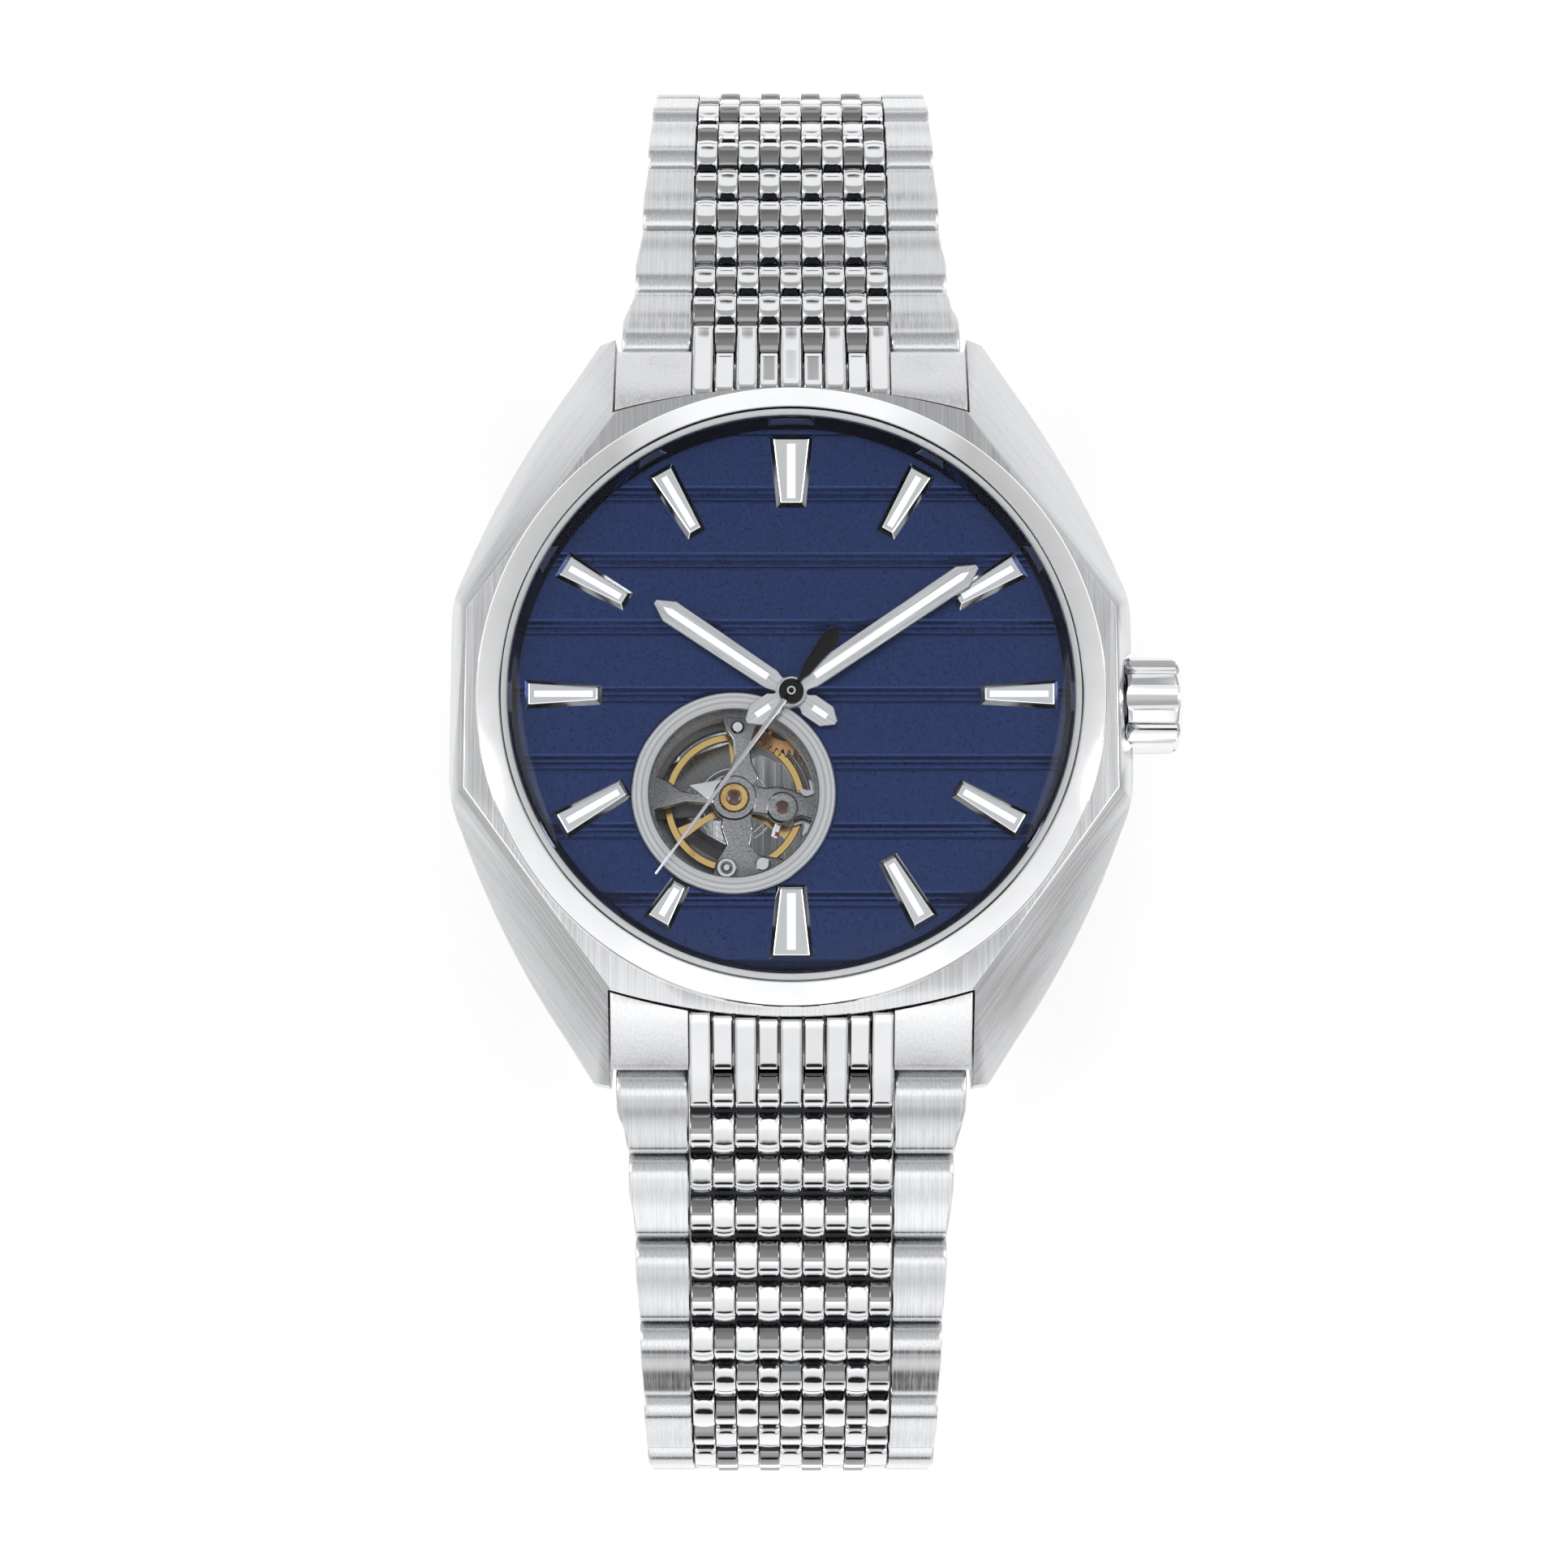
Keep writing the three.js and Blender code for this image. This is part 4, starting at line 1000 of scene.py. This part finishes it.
# ---- bracelet ----
# Link coordinates: x across, u along the bracelet from the inner pin (0) to the outer pin, w outward.
def loft(bm, profile, half, x, crown_drop=0.06, bow=0.0):
    """Adds a bead: a (u, w) profile stretched across 2*half with rounded, crowned shoulders."""
    right = [(0.5, 0.03), (0.86, 0.12), (0.95, 0.4), (1, 1.0)]
    left = [(-share, fall) for share, fall in reversed(right)]
    loops = []
    for share, fall in [*left, (0, 0), *right]:
        loop = []
        for u, w, follow in profile:
            drop = crown_drop * fall if w > 0 else 0
            loop.append(bm.verts.new((x + share * half, u + bow * follow * share ** 2, w - drop)))
        loops.append(loop)
    skin(bm, loops)
    bm.faces.new(loops[0])
    bm.faces.new(loops[-1][::-1])


def arc_points(u, w, radius, start, end, steps):
    """Points (u, w, follow) on an arc, angles in degrees from +u toward +w."""
    points = []
    for i in range(steps + 1):
        angle = math.radians(start + (end - start) * i / steps)
        points.append((*polar(radius, angle, (u, w)), 0))
    return points


FLOOR = -1.25


def barrel_and_pad(start, split, end):
    """One bead column: a round barrel from `start` to `split`, a groove, then a pad up to `end`."""
    radius = (split - start) / 2
    centre = start + radius
    pad = split + 0.1
    profile = [(centre - radius * 0.55, FLOOR, 0)]
    profile += arc_points(centre, 1.38 - radius, radius, 190, 12, 16)
    profile += [
        (split, 0.5, 0), (pad, 0.5, 0), (pad + 0.02, 1.02, -1), (pad + 0.1, 1.2, -1), (pad + 0.3, 1.29, -1),
        (pad + 0.9, 1.345, -0.5), (end - 1.05, 1.33, 0.4), (end - 0.66, 1.25, 1), (end - 0.6, 1.2, 1),
        (end - 0.54, 1.24, 1), (end - 0.24, 1.15, 1), (end - 0.06, 0.98, 1), (end, 0.5, 1),
        (end - 0.1, -0.7, 1), (end - 0.5, FLOOR, 0),
    ]
    return profile


BEAD_SPANS = [(1.47, 4.28, 7.1), (-1.32, 1.45, 4.33)]  # start, split and end of even and of odd columns


def beads():
    """All nine bead columns of a link."""
    bm = bmesh.new()
    for column in BEAD_COLUMNS:
        odd = column % 2
        loft(bm, barrel_and_pad(*BEAD_SPANS[odd]), 0.655 if odd else 0.675, column * BEAD_PITCH, bow=-0.14)
    core = [(0.9, FLOOR + 0.05, 0), (0.9, 0.5, 0), (4.9, 0.5, 0), (4.9, FLOOR + 0.05, 0)]
    loft(bm, core, BEAD_HALF - 0.05, 0, crown_drop=0)
    return as_object("bead_rows", bm)


def bead_painted_light_number(normal, centre):
    """0 for light pads and barrel rims, 1 for the painted dark reflection on the barrels and the painted
    shade low on the beads, 2 for the near-black painted shade in the grooves, the gaps between columns and
    past the barrels' crests.
    """
    if normal.z < -0.5:
        return 0
    if abs(normal.x) > 0.8:
        return 2
    if centre.z < 0.52:
        return 2 if centre.z > 0.3 else 1
    # Along a barrel: painted dark reflection before its crest, plain steel over it, near-black painted shade
    # past it.
    start, split, _ = BEAD_SPANS[round(centre.x / BEAD_PITCH) % 2]
    if centre.y > split:
        return 0
    past_crest = centre.y - (start + split) / 2
    if past_crest < -0.2:
        return 1
    return 0 if past_crest < 0.8 else 2


def link_half_width(index):
    return 9.25 + 1.45 * 0.55 ** index


# Across a side block: the share of its width, and how far its rounded edge has dropped there.
BLOCK_STATIONS = ((0, 0.1), (0.02, 0.02), (0.08, 0.0), (0.9, 0.0), (0.975, 0.02), (0.99, 0.06), (1, 0.14))


def side_blocks(index):
    """The two brushed outer blocks of a link, tapering with the bracelet, with their pin ends."""
    profile = [(-0.75, FLOOR)]
    profile += [(u, w) for u, w, _ in arc_points(0.1, 0.0, 1.34, 205, 80, 10)]
    for i in range(1, 17):
        share = i / 16
        profile.append((0.33 + 3.2 * share, 1.32 - 0.09 * math.sin(math.pi * share) ** 2))
    profile += [(u, w) for u, w, _ in arc_points(3.53, 0.5, 0.82, 80, 0, 8)]
    profile += [(4.3, -0.9), (4.05, FLOOR)]
    near, far = link_half_width(index), link_half_width(index + 1)
    inner = BEAD_HALF + GAP / 2
    bm = bmesh.new()
    for side in (-1, 1):
        loops = []
        for share, drop in BLOCK_STATIONS:
            loop = []
            for u, w in profile:
                taper = min(1, max(0, (u - 0.9) / 2.6))
                edge = near + (far - near) * taper * taper * (3 - 2 * taper)
                x = side * (inner + (edge - inner) * share)
                loop.append(bm.verts.new((x, u, w - drop if w > 0 else w + 0.6 * drop)))
            loops.append(loop)
        skin(bm, loops)
        bm.faces.new(loops[0])
        bm.faces.new(loops[-1])
    blocks = as_object(f"side_blocks_{index:02d}", bm)
    pins = []
    for side in (-1, 1):
        edge = near + 0.02
        x0, x1 = side * (edge - 1.0), side * edge
        pins.append(rod_x("pin", [(0, x0), (0.42, x0), (0.42, x1 - side * 0.03), (0.36, x1), (0, x1)], 32, 0))
    return gathered(f"side_blocks_{index:02d}", [blocks, *pins])


def drape():
    """The inner pin's y and z and the slope in radians of every link."""
    y, z = FIRST_PIVOT
    places = []
    for slope in LINK_SLOPES:
        turn = math.radians(slope)
        places.append((y, z, turn))
        y += LINK_PITCH * math.cos(turn)
        z -= LINK_PITCH * math.sin(turn)
    return places


HALVES = {"12": 0.0, "6": math.pi}


def placed(side, y, z, turn):
    """The world matrix, in metres, of something drawn in link coordinates."""
    return (Matrix.Rotation(HALVES[side], 4, "Z") @ Matrix.Translation((0, y * MM, z * MM))
            @ Matrix.Rotation(-turn, 4, "X"))


for index, (y, z, turn) in enumerate(drape()):
    for side in HALVES:
        body = f"link_{side}_{index + 1:02d}"
        place = placed(side, y, z, turn)
        middle = beads()
        middle.name = body + "_beads"
        # The beads carry painted dark reflection and near-black painted shade, chosen face by face from
        # normal and place.
        paint(middle, [bright_steel, painted_dark_reflection_steel, painted_shade_steel], bead_painted_light_number)
        settle(middle, body, bright_steel, [body], place, 40)
        blocks = side_blocks(index)
        blocks.name = body + "_sides"
        settle(blocks, body, brushed_y, [], place)


# ---- end links ----
def end_link(side):
    """The block between the lugs: brushed sides and nine polished ribs, five of which reach the first pin."""
    slope = math.radians(END_LINK_SLOPE)

    def on_link(*points):
        """The (y, z) of (u, w) points in the frame of a link at the first pivot with the end link's slope."""
        return [(
            FIRST_PIVOT[0] + u * math.cos(slope) + w * math.sin(slope),
            FIRST_PIVOT[1] - u * math.sin(slope) + w * math.cos(slope),
        ) for u, w in points]

    half = LUG_INNER_X - GAP
    profile = [
        (17, 1.6), (20.6, 1.6), *on_link((-1.45, -1.3), (-1.45, 0.9), (-1.6, 1.2), (-2.1, 1.38)),
        (19.9, 7.3), (18.9, 7.72), (18.15, 7.9), (17, 7.9),
    ]
    blocks = along_x("sides", profile[::-1], -half, half)
    common(blocks, prism("plan", lug_space(half, 18.15, 19.75, 30)[::-1], 0, 9))
    cut(blocks, box("ribs", -BEAD_HALF, BEAD_HALF, 15, 30, 3, 9))
    softened(blocks, 0.16, 3)
    bm = bmesh.new()
    for column in BEAD_COLUMNS:
        arc_y = 19.75 - 1.6 * (column * BEAD_PITCH / half) ** 2
        if column % 2 == 0:
            crest, rib_half, arch = 0.0, 0.67, 0.2
            tail = on_link(
                (-1.4, 1.36), (-0.2, 1.33), (0.45, 1.2), (0.6, 1.2), (0.98, 0.98),
                (1.22, 0.62), (1.32, 0.2), (1.25, -0.45), (0.85, -1.0),
            )
        else:
            crest, rib_half, arch = 0.14, 0.56, 0.05
            tail = on_link((-1.9, 1.24), (-1.6, 1.1), (-1.5, 0.7), (-1.5, -1.0))
        high = 7.32 - crest
        ridge = [(arc_y, 7.0), (arc_y, high), (arc_y + 0.14, high + 0.1), (arc_y + 0.4, high + 0.02)]
        flat = [tuple(a + (b - a) * share for a, b in zip(ridge[-1], tail[0])) for share in (0.1, 0.9)]
        outline = [(arc_y, 3.2), *ridge, *flat, *tail, (21.4, 3.0)]
        loft(bm, [(y, z, 0) for y, z in outline], rib_half, column * BEAD_PITCH, crown_drop=arch)
    ribs = as_object(f"end_link_{side}_ribs", bm)
    blocks.name = f"end_link_{side}_blocks"
    return blocks, ribs


for side in HALVES:
    blocks, ribs = end_link(side)
    place = Matrix.Rotation(HALVES[side], 4, "Z")
    # The ribs' side faces take the near-black painted shade of the gaps between them.
    paint(ribs, [bright_steel, painted_shade_steel], lambda normal, _: int(abs(normal.x) > 0.85))
    settle(blocks, "case", end_steel, [f"end_link_{side}"], place)
    settle(ribs, "case", bright_steel, [], place, 40)


# ---- folding clasp ----
def refined(node, name, width=0.12):
    """The CAD piece with clean flat faces and rounded edges."""
    obj = bpy.data.objects.new(name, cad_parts[node].data.copy())
    bpy.context.scene.collection.objects.link(obj)
    obj.data.transform(Matrix.Scale(1 / MM, 4))
    obj.data.materials.clear()
    return softened(cleaned(obj, 0.002, 3), width, 2, 40)


for node in ("clasp_lower_blade", "clasp_middle_blade", "clasp_cover"):
    settle(refined(node, node + "_metal"), node, brushed_y, [node])
for node in ("clasp_button_right", "clasp_button_left"):
    settle(refined(node, node + "_cap", 0.2), node, bright_steel, [node])


# ---- studio ----
def floor_look():
    look = Look("studio_floor", Roughness=0.9)
    noise = look.node("ShaderNodeTexNoise", Vector=look.place(), Scale=30.0, Detail=2.0)
    look.feed("Base Color", look.ramp(noise.outputs["Fac"], [(0.3, 0.93), (0.7, 0.95)]))
    return look.material


def studio_floor():
    size, height = 3000, -53
    floor = box("studio_floor", -size, size, -size, size, height - 10, height)
    floor.data.transform(Matrix.Scale(MM, 4))
    floor.data.materials.append(floor_look())


def studio_sky():
    """Soft light: a bright panel in front, a darker one with a light strip behind, and light sides."""
    world = bpy.data.worlds.new("studio")
    bpy.context.scene.world = world
    world.use_nodes = True
    sky = Tree(world.node_tree)
    place = sky.node("ShaderNodeTexCoord").outputs["Generated"]
    split = sky.node("ShaderNodeSeparateXYZ", Vector=place)
    sideways = sky.node("ShaderNodeMath", {"operation": "ABSOLUTE"}, Value=split.outputs["X"])
    along = sky.node("ShaderNodeMapRange", From_Min=-1.0, Value=split.outputs["Y"])
    front = sky.ramp(along.outputs["Result"], [
        (0.0, 0.015), (0.012, 0.02), (0.03, 0.9), (0.115, 1.1), (0.15, 1.35), (0.35, 1.35), (0.425, 0.72),
        (0.675, 0.64), (0.75, 0.5), (0.92, 0.45), (0.94, 1.0), (0.9975, 1.0), (0.9992, 0.08), (1.0, 0.03),
    ])
    sides = sky.ramp(split.outputs["Z"], [(0.0, 0.35), (0.3, 0.6), (0.55, 1.0), (1.0, 0.8)])
    share = sky.ramp(sideways.outputs["Value"], [(0.25, 0.0), (0.55, 1.0)])
    mix = sky.node("ShaderNodeMixRGB", Fac=share, Color1=front, Color2=sides)
    background = sky.nodes["Background"]
    background.inputs["Strength"].default_value = 1.15
    sky.links.new(mix.outputs["Color"], background.inputs["Color"])


def studio_lamp(name, at, size, power):
    lamp = bpy.data.lights.new(name, "AREA")
    lamp.shape = "DISK"
    lamp.size = size
    lamp.energy = power
    obj = bpy.data.objects.new(name, lamp)
    obj.location = at
    obj.rotation_euler = (Vector(at) * -1).to_track_quat("-Z", "Y").to_euler()
    bpy.context.scene.collection.objects.link(obj)


def studio_camera():
    """Looks down at the dial, tilted a little toward six o'clock."""
    distance, rise, tilt = 204 * MM, math.radians(10.8), math.radians(9.27)
    data = bpy.data.cameras.new("studio_camera")
    data.lens = 76.64
    data.sensor_width = 36
    data.clip_start = 0.01
    camera = bpy.data.objects.new("studio_camera", data)
    camera.location = (-0.446 * MM, -distance * math.sin(rise), DIAL_TOP * MM + distance * math.cos(rise))
    camera.rotation_euler = (tilt, 0, 0)
    bpy.context.scene.collection.objects.link(camera)
    bpy.context.scene.camera = camera


studio_floor()
studio_sky()
for side in (-1, 1):
    studio_lamp(f"side_light_{side}", (0.45 * side, 0.0, 0.4), 0.35, 1.3)
studio_camera()
bpy.context.scene.view_settings.view_transform = "Standard"
